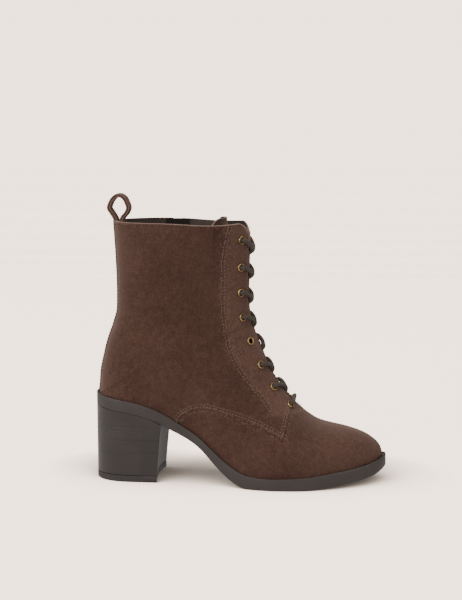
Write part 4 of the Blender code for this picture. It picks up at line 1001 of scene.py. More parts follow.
def wall(name, out, within, materials, shrink=0.0, first_key=0.0, open_from=THROAT_KEY):
    keys = np.array([key for key in wall_keys() if key >= first_key])
    keys[-1] -= shrink / (BOOT_HEIGHT - SEAT_HEIGHT)
    faces = ([], [])
    for key in keys:
        arcs = wall_columns(key, shrink)
        middle = surface(key, arcs)[0]
        for face, level in zip(faces, (out + folds(middle), -within + folds(middle))):
            face.append(surface(key, arcs, level)[0])
    for face in faces if not shrink else ():
        face[0][:] = face[0][0]
        for key, row in zip(keys, face):
            if key >= 1:
                row[-1] = row[0]

    def closed(i, j):
        return not (j == SIDE_COLUMNS and keys[i] >= open_from - 1e-9)

    return shell(name, np.array(faces[0]), np.array(faces[1]), materials, closed)


def quarter_outline():
    seam = smooth_path([(row.along * SOLE_LENGTH, row.height * BOOT_HEIGHT) for row in SEAM])
    beyond = [(SEAM_TOP.along, SEAM_TOP.height), (0.80, 1.1), (-0.1, 1.1), (-0.1, 0.15), (0.26, 0.15)]
    return [tuple(point) for point in seam] + [(x * SOLE_LENGTH, z * BOOT_HEIGHT) for x, z in beyond]


def corner_outline():
    edge, _, top = surface(2.0, half_gap(2.0))[0][0]
    angles = np.linspace(0, math.pi / 2, 17)
    arc = [(edge - CORNER_ROUND * (1 - math.cos(a)), top - CORNER_ROUND * (1 - math.sin(a))) for a in angles]
    return arc + [(arc[-1][0], 2 * BOOT_HEIGHT), (SOLE_LENGTH, 2 * BOOT_HEIGHT), (SOLE_LENGTH, arc[0][1])]


def eyelet_places():
    """The side, the row, the centre and the outward direction of each eyelet."""
    for side in (-1, 1):
        for row in range(EYELETS):
            key = key_below_collar(EYELET_TOP + row * EYELET_PITCH)
            points, normals = surface(key, side * (half_gap(key) + EYELET_INSET))
            yield side, row + 1, points[0], normals[0]


def joined(name, objects):
    work = bmesh.new()
    for obj in objects:
        work.from_mesh(obj.data)
    mesh = bpy.data.meshes.new(name)
    work.to_mesh(mesh)
    work.free()
    for material in objects[0].data.materials:
        mesh.materials.append(material)
    for obj in objects:
        bpy.data.objects.remove(obj)
    made = bpy.data.objects.new(name, mesh)
    bpy.context.scene.collection.objects.link(made)
    return made


def turned(name, profile, count, place, materials, slots=None):
    points, faces = [], []
    for angle in np.linspace(0, 2 * math.pi, count, endpoint=False):
        for radius, height in profile:
            points.append(place @ Vector((radius * math.cos(angle), radius * math.sin(angle), height)))
    size = len(profile)
    for i in range(count):
        for j in range(size):
            k, after = (j + 1) % size, (i + 1) % count
            faces.append((i * size + j, i * size + k, after * size + k, after * size + j))
    return piece(name, np.array(points), faces, materials, slots)


def bar(name, radius, reach, place, materials):
    count = 24
    angles = np.linspace(0, 2 * math.pi, count, endpoint=False)
    circle = [(radius * math.cos(a), radius * math.sin(a)) for a in angles]
    points = [place @ Vector((x, y, z)) for z in (-reach, reach) for x, y in circle]
    faces = [tuple(range(count)), tuple(range(2 * count - 1, count - 1, -1))]
    faces += [(i, (i + 1) % count, count + (i + 1) % count, count + i) for i in range(count)]
    return piece(name, np.array(points), faces, materials, [2] * len(faces))


def standing(point, direction):
    """A place at a point whose local Z looks along a direction."""
    return Matrix.Translation(Vector(point)) @ Vector(direction).to_track_quat("Z", "Y").to_matrix().to_4x4()


# %% Cut the wall and the quarters
SKINS = (upper_suede, lining, raw_edge)
upper_wall = wall("upper_wall", 0.0, WALL, SKINS)
quarters = wall("quarters", QUARTER_STEP, LAYER_BACK, SKINS, 0.0002, 0.10, THROAT_KEY - 0.12)
side_view = prism("side_view", quarter_outline(), -BALL_WIDTH, BALL_WIDTH, SKINS)
holes = [prism("corners", corner_outline(), -BALL_WIDTH / 2, BALL_WIDTH / 2, SKINS)]
for side, row, centre, direction in eyelet_places():
    holes.append(bar("hole", EYELET_BARREL + CLEARANCE / 2, 2 * WALL, standing(centre, direction), SKINS))
zip_low, zip_high = ZIP_ALONG - ZIP_SLOT / 2, ZIP_ALONG + ZIP_SLOT / 2
over = 1.1 * BOOT_HEIGHT
slot = [(zip_low, ZIP_FOOT), (zip_high, ZIP_FOOT), (zip_high, over), (zip_low, over)]
holes.append(prism("zip_slot", slot, 0, BALL_WIDTH, SKINS))
cutters = joined("cutters", holes)
cut(quarters, side_view, "INTERSECT")
for obj in (quarters, upper_wall):
    cut(obj, cutters, "DIFFERENCE")
    plain_copy(obj)
bpy.data.objects.remove(cutters)
bpy.data.objects.remove(side_view)
print("wall", len(upper_wall.data.polygons), "faces, quarters", len(quarters.data.polygons), "faces")

# %% [markdown]
# ## Where the nap is worn, and where light and shade are painted
#
# The fibres stand up pale where the suede is cut or sewn: along the quarters' edge, beside the stitch
# lines, at the collar and round the heel counter. Each vertex carries that as a mask, worked out from
# its distance to those lines in the side view, and the same mask adds a painted highlight on the facings
# and the toe. A second mask paints light and shade: the facings and the toe a little paler as painted
# highlight and the shaft a little darker as painted shade.

# %% Lines in the side view
FACING_LINE = smooth_path(
    [
        (0.1176, 0.2190),
        (0.1146, 0.2056),
        (0.1122, 0.1900),
        (0.1114, 0.1710),
        (0.1113, 0.1540),
        (0.1124, 0.1400),
        (0.1153, 0.1230),
        (0.1203, 0.1080),
        (0.1269, 0.0967),
        (0.1370, 0.0834),
        (0.1453, 0.0734),
        (0.1520, 0.0642),
    ]
)
SEAM_LINE = smooth_path([(row.along * SOLE_LENGTH, row.height * BOOT_HEIGHT) for row in SEAM])
SEAM_FRONT = np.array([SEAM_LINE[-1], (SEAM_TOP.along * SOLE_LENGTH, SEAM_TOP.height * BOOT_HEIGHT)])
COLLAR_LINE = surface(2.0, wall_columns(2.0)[: SIDE_COLUMNS + 1])[0][:, (0, 2)]
COUNTER_TOP, COUNTER_REACH = 0.100, 0.050
SEAM_RUB, FACING_RUB, COLLAR_RUB = 0.0032, 0.0034, 0.0018


def apart(points, line):
    """The distance of each point from a line, both in the side view."""
    nearest = np.full(len(points), 1.0)
    for start, end in zip(line[:-1], line[1:]):
        run = end - start
        share = np.clip(((points - start) @ run) / max(run @ run, 1e-12), 0, 1)
        nearest = np.minimum(nearest, np.linalg.norm(points - start - share[:, None] * run, axis=1))
    return nearest


def paint(obj):
    """Writes two masks on the vertices: worn pale nap, which also adds a painted highlight on the facings and
    the toe, and painted light and shade.
    """
    places = np.empty(3 * len(obj.data.vertices))
    obj.data.vertices.foreach_get("co", places)
    places = places.reshape(-1, 3) + (HEEL_LENGTH / 2, 0, 0)
    side = places[:, (0, 2)]
    seam = np.minimum(apart(side, SEAM_LINE), apart(side, SEAM_FRONT))
    rubbed = 0.62 * np.exp(-((seam / SEAM_RUB) ** 2))
    rubbed += 0.45 * np.exp(-((apart(side, FACING_LINE) / FACING_RUB) ** 2))
    rubbed += 0.45 * np.exp(-((apart(side, COLLAR_LINE) / COLLAR_RUB) ** 2))
    low = smooth((COUNTER_TOP - places[:, 2]) / 0.04) * smooth((COUNTER_REACH - places[:, 0]) / 0.03)
    rubbed += 0.32 * low + 0.10
    toe = smooth((places[:, 0] - 0.150) / 0.070)
    ahead = np.interp(places[:, 2], FACING_LINE[::-1, 1], FACING_LINE[::-1, 0])
    facing = smooth((places[:, 0] - ahead) / 0.004) * (places[:, 2] > 0.060)
    shaft = smooth((places[:, 2] - 0.100) / 0.050)
    # Painted light and shade: a painted highlight on the facings and the toe, painted shade on the shaft.
    warm = np.clip(0.85 * toe + 1.15 * facing - 0.25 * shaft, -0.25, 1)
    # Painted highlight: the worn-nap mask is raised on the facings and the toe as well.
    rubbed += 0.24 * facing + 0.12 * toe
    for name, values in (("rubbed", np.clip(rubbed, 0, 1)), ("warm", warm)):
        layer = obj.data.attributes.new(name, "FLOAT", "POINT")
        layer.data.foreach_set("value", values.astype(np.float32))


for obj, nodes in ((upper_wall, ("upper",)), (quarters, ("upper",))):
    paint(obj)
    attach(obj, "boot")
    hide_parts(*nodes)

# %% [markdown]
# ## Stitching
#
# One Geometry Nodes tree sews every seam: it takes a line, cuts it into even steps, lays one small
# thread loop on each and turns it along the line. The rows of each seam are worked out on the upper,
# so the same tree serves both sides.

# %% Stitch tree


def socket_of(tree, name):
    return next(item.identifier for item in tree.interface.items_tree if item.name == name)


def stitch_tree():
    tree = bpy.data.node_groups.new("stitch row", "GeometryNodeTree")
    tree.interface.new_socket("Line", in_out="INPUT", socket_type="NodeSocketGeometry")
    for name, value in (("Pitch", 0.0028), ("Length", 0.0020), ("Thickness", 0.00055)):
        tree.interface.new_socket(name, in_out="INPUT", socket_type="NodeSocketFloat").default_value = value
    tree.interface.new_socket("Thread", in_out="INPUT", socket_type="NodeSocketMaterial")
    tree.interface.new_socket("Stitches", in_out="OUTPUT", socket_type="NodeSocketGeometry")
    source, sink = tree.nodes.new("NodeGroupInput").outputs, tree.nodes.new("NodeGroupOutput").inputs
    curve = node(tree, "GeometryNodeMeshToCurve", {"Mesh": source["Line"]})
    sockets = {"Curve": curve.outputs["Curve"], "Length": source["Pitch"]}
    steps = node(tree, "GeometryNodeResampleCurve", sockets, mode="LENGTH")
    tangent = node(tree, "GeometryNodeInputTangent")
    turn = node(tree, "FunctionNodeAlignRotationToVector", {"Vector": tangent.outputs["Tangent"]}, axis="X")
    ball = node(tree, "GeometryNodeMeshUVSphere", {"Segments": 8, "Rings": 6, "Radius": 0.5})
    sockets = {"X": source["Length"], "Y": source["Thickness"], "Z": source["Thickness"]}
    scale = node(tree, "ShaderNodeCombineXYZ", sockets)
    sockets = {"Geometry": ball.outputs["Mesh"], "Scale": scale.outputs["Vector"]}
    loop = node(tree, "GeometryNodeTransform", sockets)
    sockets = {
        "Points": steps.outputs["Curve"],
        "Instance": loop.outputs["Geometry"],
        "Rotation": turn.outputs["Rotation"],
    }
    laid = node(tree, "GeometryNodeInstanceOnPoints", sockets)
    real = node(tree, "GeometryNodeRealizeInstances", {"Geometry": laid.outputs["Instances"]})
    sockets = {"Geometry": real.outputs["Geometry"], "Shade Smooth": True}
    soft = node(tree, "GeometryNodeSetShadeSmooth", sockets)
    sockets = {"Geometry": soft.outputs["Geometry"], "Material": source["Thread"]}
    done = node(tree, "GeometryNodeSetMaterial", sockets)
    tree.links.new(done.outputs["Geometry"], sink["Stitches"])
    return tree


STITCHES = stitch_tree()


def sewn(name, lines, material, **sizes):
    """Stitches along lines of points in the boot's own sizes."""
    points, edges = [], []
    for line in lines:
        edges += [(len(points) + k, len(points) + k + 1) for k in range(len(line) - 1)]
        points += [tuple(point) for point in to_frame(line)]
    mesh = bpy.data.meshes.new(name)
    mesh.from_pydata(points, edges, [])
    obj = bpy.data.objects.new(name, mesh)
    bpy.context.scene.collection.objects.link(obj)
    step = obj.modifiers.new("stitch row", "NODES")
    step.node_group = STITCHES
    for label, value in {"Thread": material, **sizes}.items():
        step[socket_of(STITCHES, label)] = value
    plain_copy(obj)
    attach(obj, "boot")
    return obj


def side_line(path, out, inner_side):
    """A line of the side view laid on one side of the upper."""
    line = []
    for x, z in path:
        key, arc = last.locate(float(x), float(z), inner_side)
        line.append(surface(key, arc, out)[0][0])
    return line


def beside(path, distance):
    run = np.gradient(path, axis=0)
    run /= np.linalg.norm(run, axis=1)[:, None]
    return path + distance * np.stack([-run[:, 1], run[:, 0]], 1)


def even(path, step=0.0025):
    lengths = path_lengths(path)
    return along_path(path, np.linspace(0, lengths[-1], int(lengths[-1] / step)))


# %% Sew the seams
STITCH_OUT = QUARTER_STEP + 0.0001
SEAM_ROWS, FACING_ROWS = (0.0018, 0.0040), (-0.0012, 0.0012)
FRONT_EDGE_ROWS, EDGE_ROW, COLLAR_ROW = (0.0016, 0.0036), 0.0020, 0.0024
lines = []
for inner_side in (False, True):
    for offset in SEAM_ROWS:
        lines.append(side_line(even(beside(SEAM_LINE, offset))[2:], STITCH_OUT, inner_side))
    for offset in FRONT_EDGE_ROWS:
        path = even(beside(SEAM_FRONT[::-1], -offset))
        lines.append(side_line(path[2:-2], STITCH_OUT, inner_side))
    for offset in FACING_ROWS:
        lines.append(side_line(even(beside(FACING_LINE, offset)), STITCH_OUT, inner_side))
    side = 1 if inner_side else -1
    depths = np.arange(0.006, 0.172, 0.0025)
    keys = [key_below_collar(depth) for depth in depths]
    lines.append([surface(key, side * (half_gap(key) + EDGE_ROW), STITCH_OUT)[0][0] for key in keys])
quarter_stitches = sewn("quarter_stitches", lines, thread)

key = key_below_collar(0.0) - COLLAR_ROW / (BOOT_HEIGHT - SEAT_HEIGHT)
lines = []
for side in (-1, 1):
    reach = abs(last.limits(key)[0 if side < 0 else 1])
    arcs = np.linspace(half_gap(key) + 0.009, reach - 0.009, 60)
    if side > 0:
        ends = [last.locate(x, BOOT_HEIGHT - COLLAR_ROW)[1] for x in (zip_high + 0.002, zip_low - 0.002)]
        lines += [surface(key, part, STITCH_OUT)[0] for part in (arcs[arcs < ends[0]], arcs[arcs > ends[1]])]
    else:
        lines.append(surface(key, -arcs, STITCH_OUT)[0])
# Painted shade: a row of dark beads for the needle holes along the collar.
sewn("collar_holes", lines, hole_shade, Length=0.0009, Thickness=0.0005)
print(len(quarter_stitches.data.polygons), "stitch faces")

# %% [markdown]
# ## Tongue, back strap and pull loop
#
# The tongue lies behind the facings and leans back at the top. The strap covers the back seam, and the
# loop is one folded ribbon that is sewn in at the top of it. Their cut edges show the paler hide.

# %% Tongue
TONGUE, TONGUE_WIDTH, TONGUE_FOOT_WIDTH, TONGUE_FOOT = 0.0018, 0.0640, 0.0480, 0.0140
TONGUE_STAND, TONGUE_ROUND, TONGUE_LEAN, LEAN_LENGTH, TONGUE_TAPER = 0.0035, 0.0160, 0.0160, 0.0700, 0.5


def tongue_grid(out, rows=70, columns=40):
    throat = last.front_lengths[-1] - last.end(THROAT_KEY)
    high = TONGUE_ROUND * (1 - np.sin(np.linspace(0, math.pi / 2, 14)))[1:]
    depths = np.concatenate([np.linspace(throat + TONGUE_FOOT, TONGUE_ROUND, rows), high])
    grid = []
    for depth in depths:
        key = key_below_collar(max(depth - TONGUE_STAND, 0))
        lean = TONGUE_LEAN * smooth(1 - depth / LEAN_LENGTH) ** 2
        half = (TONGUE_WIDTH + (TONGUE_FOOT_WIDTH - TONGUE_WIDTH) * depth / depths[0]) / 2
        half *= 1 - TONGUE_TAPER * (1 - bulge(depth / TONGUE_ROUND, 2))
        row = last.row(key, np.linspace(-half, half, columns), out)[0]
        drop = collar_drop(key, np.linspace(-half, half, columns))
        row[:, 2] += max(TONGUE_STAND - depth, 0) - drop
        grid.append(row - (lean, 0, 0))
    return np.array(grid)


outer, inner = (tongue_grid(-WALL - LINING_GAP - depth) for depth in (0, TONGUE))
tongue = shell("tongue_soft", outer, inner, (tongue_suede, lining, raw_edge))

# %% Back strap
STRAP_WIDTH, STRAP = 0.0150, 0.0007
keys = np.linspace(1, 2, 110)
bed = last.start(1.0)[1]
keys[0] += (SEAT_HEIGHT + CLEARANCE - bed) / (BOOT_HEIGHT - bed)
keys = keys[[0] + [k for k in range(1, len(keys)) if keys[k] > keys[0]]]
from_seam = np.linspace(-1, 1, 17) * STRAP_WIDTH / 2
levels = QUARTER_STEP + CLEARANCE + STRAP, QUARTER_STEP - 0.0001
grids = []
for level in levels:
    grid = []
    for key in keys:
        low, high = last.limits(key)
        left = surface(key, low - from_seam[from_seam <= 0], level)[0]
        right = surface(key, high - from_seam[from_seam > 0], level)[0]
        grid.append(np.concatenate([left, right]))
    grids.append(np.array(grid))
strap = shell("back_strap_soft", *grids, (upper_suede, lining, raw_edge))
strap_lines = [grids[0][:, column] for column in (2, 14)]
sewn("back_strap_stitches", strap_lines, thread, Length=0.0019)

# %% Pull loop
LOOP_WIDTH, LOOP, LOOP_HEIGHT, LOOP_SPREAD, LOOP_LEG = 0.0120, 0.0036, 0.0230, 0.0200, 0.0120
LOOP_LINE = (
    Line(-0.060, 0.014),
    Line(-0.064, 0.060),
    Line(-0.120, 0.140),
    Line(-0.250, 0.303),
    Line(-0.396, 0.500),
    Line(-0.282, 0.761),
    Line(-0.080, 0.945),
    Line(0.147, 1.000),
    Line(0.380, 0.908),
    Line(0.534, 0.695),
    Line(0.604, 0.492),
    Line(0.503, 0.300),
    Line(0.300, 0.110),
)
middle = float(back_line(BOOT_HEIGHT)) + WALL / 2
spread, height = LOOP_SPREAD - LOOP, LOOP_HEIGHT - LOOP / 2
ring = [(middle + row.along * spread, BOOT_HEIGHT + row.height * height) for row in LOOP_LINE]
depths = BOOT_HEIGHT - LOOP_LEG * np.array([0.1, 0.5, 1.0])
leg = [(float(back_line(z)) + WALL + LINING_GAP + LOOP / 2, z) for z in depths]
path = smooth_path([*ring, *leg], 10)


def ribbon(name, path, thickness, width, materials, offset=0.0):
    """A flat strip with rounded edges along a path in the side view."""
    run = np.gradient(path, axis=0)
    run /= np.linalg.norm(run, axis=1)[:, None]
    across = np.stack([-run[:, 1], run[:, 0]], 1)
    turns = np.linspace(0, 2 * math.pi, 32, endpoint=False)
    y = width / 2 * np.sign(np.sin(turns)) * abs(np.sin(turns)) ** 0.25
    u = thickness / 2 * np.sign(np.cos(turns)) * abs(np.cos(turns)) ** 0.7 + offset
    points = [(x + du * a, dy, z + du * b) for (x, z), (a, b) in zip(path, across) for dy, du in zip(y, u)]
    count, faces, slots = len(turns), [], []
    for k in range(len(path) - 1):
        for i in range(count):
            j = (i + 1) % count
            faces.append((k * count + i, k * count + j, (k + 1) * count + j, (k + 1) * count + i))
            slots.append(1 if min(abs(y[i]), abs(y[j])) > 0.46 * width else 0)
    faces += [tuple(range(count)), tuple(range((len(path) - 1) * count, len(path) * count))]
    return piece(name, np.array(points), faces, materials, slots + [0, 0])


loop = joined(
    "pull_loop_soft",
    [
        ribbon("loop_face", path, LOOP / 2 - 0.0001, LOOP_WIDTH, (upper_suede, raw_edge), LOOP / 4),
        ribbon("loop_back", path, LOOP / 2 - 0.0001, LOOP_WIDTH - 0.0006, (upper_suede, raw_edge), -LOOP / 4),
    ],
)
for obj, name, label in (
    (tongue, "tongue", "tongue_suede"),
    (strap, "back_strap", "strap_suede"),
    (loop, "pull_loop", "loop_suede"),
):
    paint(obj)
    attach(obj, "boot")
    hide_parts(name)
print("tongue, strap and loop made")

# %% [markdown]
# ## Eyelets
#
# The real ones are turned brass rings, rolled over on the outside. One ring is turned finely and
# Geometry Nodes sets it on sixteen points, each turned to the upper's own direction there.

# %% Eyelet ring
base, end = FACING_OUT - 0.0004, -WALL - CLEARANCE
rim_top, crest = FACING_OUT + EYELET_RIM, (EYELET_HOLE + EYELET_RADIUS) / 2
profile = [(EYELET_HOLE, end), (EYELET_BARREL, end), (EYELET_BARREL, base), (EYELET_RADIUS, base)]
for angle in np.linspace(0, math.pi, 11):
    reach = EYELET_RADIUS - crest if angle < math.pi / 2 else crest - EYELET_HOLE
    profile.append((crest + reach * math.cos(angle), base + (rim_top - base) * math.sin(angle) ** 0.8))
ring = turned("eyelet_ring", profile, 40, Matrix.Translation((HEEL_LENGTH / 2, 0, 0)), (brass,))


def set_tree():
    tree = bpy.data.node_groups.new("rings on points", "GeometryNodeTree")
    tree.interface.new_socket("Points", in_out="INPUT", socket_type="NodeSocketGeometry")
    tree.interface.new_socket("Ring", in_out="INPUT", socket_type="NodeSocketObject")
    tree.interface.new_socket("Metal", in_out="INPUT", socket_type="NodeSocketMaterial")
    tree.interface.new_socket("Rings", in_out="OUTPUT", socket_type="NodeSocketGeometry")
    source, sink = tree.nodes.new("NodeGroupInput").outputs, tree.nodes.new("NodeGroupOutput").inputs
    outwards = node(tree, "GeometryNodeInputNamedAttribute", {"Name": "outwards"}, data_type="FLOAT_VECTOR")
    sockets = {"Vector": outwards.outputs["Attribute"]}
    turn = node(tree, "FunctionNodeAlignRotationToVector", sockets, axis="Z")
    shape = node(tree, "GeometryNodeObjectInfo", {"Object": source["Ring"]})
    sockets = {
        "Points": source["Points"],
        "Instance": shape.outputs["Geometry"],
        "Rotation": turn.outputs["Rotation"],
    }
    laid = node(tree, "GeometryNodeInstanceOnPoints", sockets)
    real = node(tree, "GeometryNodeRealizeInstances", {"Geometry": laid.outputs["Instances"]})
    sockets = {"Geometry": real.outputs["Geometry"], "Material": source["Metal"]}
    done = node(tree, "GeometryNodeSetMaterial", sockets)
    tree.links.new(done.outputs["Geometry"], sink["Rings"])
    return tree


RINGS = set_tree()


def set_on(name, places, directions, shape, metal):
    mesh = bpy.data.meshes.new(name)
    mesh.from_pydata([tuple(point) for point in to_frame(places)], [], [])
    layer = mesh.attributes.new("outwards", "FLOAT_VECTOR", "POINT")
    layer.data.foreach_set("vector", np.asarray(directions, np.float32).ravel())
    obj = bpy.data.objects.new(name, mesh)
    bpy.context.scene.collection.objects.link(obj)
    step = obj.modifiers.new("rings on points", "NODES")
    step.node_group = RINGS
    step[socket_of(RINGS, "Ring")] = shape
    step[socket_of(RINGS, "Metal")] = metal
    plain_copy(obj)
    bpy.data.objects.remove(shape)
    return obj


found = list(eyelet_places())
eyelets = set_on("eyelets", [spot[2] for spot in found], [spot[3] for spot in found], ring, brass)
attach(eyelets, "boot")
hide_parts(*[f"eyelet_{'inner' if side > 0 else 'outer'}_{row}" for side, row, _, _ in found])
print("eyelets", len(eyelets.data.polygons), "faces")

# %% [markdown]
# ## The lace
#
# One round braid runs through all the eyelets. From each it leaves outside, passes down over its own
# facing's edge, dives into the throat, goes behind the other facing and comes up through the next
# eyelet. Behind a facing it is pressed flat. At one eyelet the outer run stays behind, as the photo
# shows. The table gives one such step, with places along the arc counted from named edges.

# %% Lace
LACE, FLAT_HALF, FLAT_WIDE = 0.0036, 0.0004, 0.0023
BEHIND, OVER = -WALL - FLAT_HALF - 0.0001, FACING_OUT + LACE / 2
PLAIN_ROW = 5
Step = namedtuple("Step", "down arc out flat")


def lace_step(row, side, crossing, starts_inside=False, ends_inside=False):
    """The places of one run: rows down, arc, height over the wall and whether it is pressed flat."""
    here = half_gap(key_below_collar(EYELET_TOP + (row - 1) * EYELET_PITCH)) + EYELET_INSET
    there = half_gap(key_below_collar(EYELET_TOP + row * EYELET_PITCH)) + EYELET_INSET
    gap = half_gap(key_below_collar(EYELET_TOP + (row - 0.5) * EYELET_PITCH))
    steps = [
        Step(0.00, here, -0.0008, 0.2),
        Step(0.00, here, FACING_OUT, 0.0),
        Step(0.04, here - 0.0022, OVER + 0.0003, 0.0),
        Step(0.18, here - 0.0068, OVER, 0.0),
        Step(0.33, gap, OVER - 0.0002, 0.0),
        Step(0.44, gap * 0.45, (OVER + crossing) / 2, 0.0),
        Step(0.55, -gap * 0.10, crossing, 0.0),
        Step(0.64, -gap * 0.55, (crossing + BEHIND) / 2, 0.3),
        Step(0.72, -gap - 0.0012, BEHIND, 1.0),
        Step(0.86, -gap - 0.0060, BEHIND, 1.0),
    ]
    if starts_inside:
        rising = Step(0.47, gap * 0.6, (BEHIND + crossing) / 2, 0.3)
        steps = [Step(0.42, gap + 0.0012, BEHIND, 1.0), rising, *steps[6:]]
    if ends_inside:
        steps.append(Step(1.00, -there + 0.0010, BEHIND, 1.0))
    else:
        steps.append(Step(0.99, -there + 0.0004, BEHIND, 1.0))
    return [(row + step.down, side * step.arc, step.out, step.flat) for step in steps]


def lace_half(side):
    """From the top eyelet of one side down to the lowest one."""
    places = []
    first = half_gap(key_below_collar(EYELET_TOP)) + EYELET_INSET
    places.append((1.25, side * (first + 0.0030), BEHIND, 1.0))
    places.append((1.08, side * (first + 0.0010), BEHIND, 1.0))
    for row in range(1, EYELETS):
        here = side if row % 2 else -side
        plain = row == PLAIN_ROW and here < 0
        crossing = 0.0022 if here > 0 else -0.0010
        places += lace_step(row, here, crossing, starts_inside=plain)
    lowest = half_gap(key_below_collar(EYELET_TOP + (EYELETS - 1) * EYELET_PITCH)) + EYELET_INSET
    here = side if EYELETS % 2 else -side
    places += [
        (EYELETS, here * lowest, -0.0008, 0.2),
        (EYELETS, here * lowest, FACING_OUT, 0.0),
        (EYELETS + 0.02, here * (lowest - 0.0022), OVER + 0.0003, 0.0),
        (EYELETS + 0.03, here * (lowest - 0.0070), OVER, 0.0),
    ]
    return places


def cord_mesh(name, places, materials):
    """A tube that can be pressed flat, with a UV map: metres along it and turns round it."""
    fine = smooth_path(places, 7)
    centres, outwards = [], []
    for row, arc, out, _ in fine:
        key = key_below_collar(EYELET_TOP + (row - 1) * EYELET_PITCH)
        point, normal = surface(key, arc, out)
        centres.append(point[0])
        outwards.append(normal[0])
    centres, outwards = np.array(centres), np.array(outwards)
    ahead = np.gradient(centres, axis=0)
    ahead /= np.linalg.norm(ahead, axis=1)[:, None]
    aside = np.cross(ahead, outwards)
    weak = np.linalg.norm(aside, axis=1) < 0.35
    aside[weak] = [1, 0, 0]
    aside -= (aside * ahead).sum(1)[:, None] * ahead
    for _ in range(3):
        aside[1:-1] = (aside[:-2] + aside[1:-1] + aside[2:]) / 3
    aside /= np.linalg.norm(aside, axis=1)[:, None]
    up = np.cross(aside, ahead)
    flat = np.clip(fine[:, 3], 0, 1)
    wide, high = LACE / 2 + (FLAT_WIDE - LACE / 2) * flat, LACE / 2 + (FLAT_HALF - LACE / 2) * flat
    lengths, count = path_lengths(centres), 16
    turns = np.linspace(0, 2 * math.pi, count, endpoint=False)
    points = [
        centre + wide[k] * math.cos(a) * aside[k] + high[k] * math.sin(a) * up[k]
        for k, centre in enumerate(centres)
        for a in turns
    ]
    faces, uv = [], []
    for k in range(len(centres) - 1):
        for i in range(count):
            j = (i + 1) % count
            faces.append((k * count + i, k * count + j, (k + 1) * count + j, (k + 1) * count + i))
            for station, turn in ((k, i), (k, i + 1), (k + 1, i + 1), (k + 1, i)):
                uv.append((lengths[station], turn / count))
    for ring_start in (0, (len(centres) - 1) * count):
        faces.append(tuple(range(ring_start, ring_start + count)))
        uv += [(0.0, 0.0)] * count
    return piece(name, np.array(points), faces, materials, uv=uv), lengths[-1]


down, up_again = lace_half(-1), lace_half(1)
lowest_run = [(EYELETS + 0.03, 0.0, OVER, 0.0)]
lace, lace_length = cord_mesh("lace", down + lowest_run + up_again[::-1], (lace_braid,))
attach(lace, "boot")
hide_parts(*[f"lace_crossing_{row}" for row in range(1, EYELETS)], "lace_bar")
print("lace", round(lace_length, 3), "m")

# %% [markdown]
# ## Sole, heel and insole
#
# The sole is one moulded unit with rounded edges and a small lip that the upper stands in. The heel is
# a stacked block with a worn-in sheen and a harder top piece under it.

# %% Sole and heel
EDGE_ROUND, INSOLE, INSOLE_GAP, BREAST_POINTS = 0.0016, 0.0028, 0.0022, 15
HEEL_EDGE, SEAT_EDGE, TIP_DROP, LIP_ROUND = 0.0003, 0.0002, 0.0022, 0.0011
TREAD_EDGE, INSOLE_EDGE = 0.0009, 0.0006


def lifted(ring, height):
    return np.column_stack([ring, height(ring[:, 0])])


def loft(name, rings, materials, hollow_end=0, **settings):
    count, faces = len(rings[0]), []
    strips = count // 2 - hollow_end
    for k in range(len(rings) - 1):
        for i in range(count):
            j = (i + 1) % count
            faces.append((k * count + i, k * count + j, (k + 1) * count + j, (k + 1) * count + i))
    for start in (0, (len(rings) - 1) * count):
        for i in range(strips):
            corners = dict.fromkeys(start + k % count for k in (i, i + 1, count - i - 1, count - i))
            faces.append(tuple(corners))
        if hollow_end:
            faces.append(tuple(start + k for k in range(strips, count - strips + 1)))
    faces = [face for face in faces if len(face) > 2]
    return piece(name, np.concatenate(rings), faces, materials, **settings)


def heel_ring(length, width, inset=0.0):
    x = length * eased(36)
    half = width / 2 * bulge(x / HEEL_ROUND, HEEL_BLUNT)
    outer = np.stack([x, -half], 1)
    across = np.linspace(-1, 1, BREAST_POINTS + 2)[1:-1]
    breast = np.stack([length - BREAST_HOLLOW * (1 - across**2), across * half[-1]], 1)
    ring = np.concatenate([outer, breast, (outer * (1, -1))[:0:-1]])
    centre = np.array([length / 2, 0])
    return ring + inset * (centre - ring) / np.linalg.norm(centre - ring, axis=1)[:, None]


def heel_between(share, inset=0.0):
    length, width = HEEL_LENGTH + BREAST_LEAN * share, HEEL_WIDTH + (SEAT_WIDTH - HEEL_WIDTH) * share
    return heel_ring(length, width, inset)


def rounded_edge(inset, drop, level, sign):
    """One ring of a rounded edge: sharp over the heel underneath, softest at the toe on top."""
    ring, full = sole_ring(0.0), sole_ring(inset)
    if sign > 0:
        share = 0.1 + 0.9 * smooth((ring[:, 0] - HEEL_LENGTH) / 0.020)
    else:
        share = 0.4 + 0.6 * smooth((ring[:, 0] - 0.195) / 0.025)
    ring = ring + share[:, None] * (full - ring)
    return np.column_stack([ring, level(ring[:, 0]) + sign * share * drop])


turns = np.linspace(0, math.pi / 2, 5)
rings = []
for inset, rise in zip(EDGE_ROUND * (1 - np.sin(turns)), EDGE_ROUND * (1 - np.cos(turns))):
    rings.append(rounded_edge(inset, rise, sole_under, 1))
for inset, drop in zip(LIP_ROUND * (1 - np.cos(turns)), TIP_DROP * (1 - np.sin(turns))):
    rings.append(rounded_edge(inset, drop, sole_top, -1))
rings += [lifted(sole_ring(LIP_WIDTH), sole_top), lifted(sole_ring(LIP_WIDTH), sole_bed)]
outsole = loft("outsole_moulded", rings, (sole_rubber,))

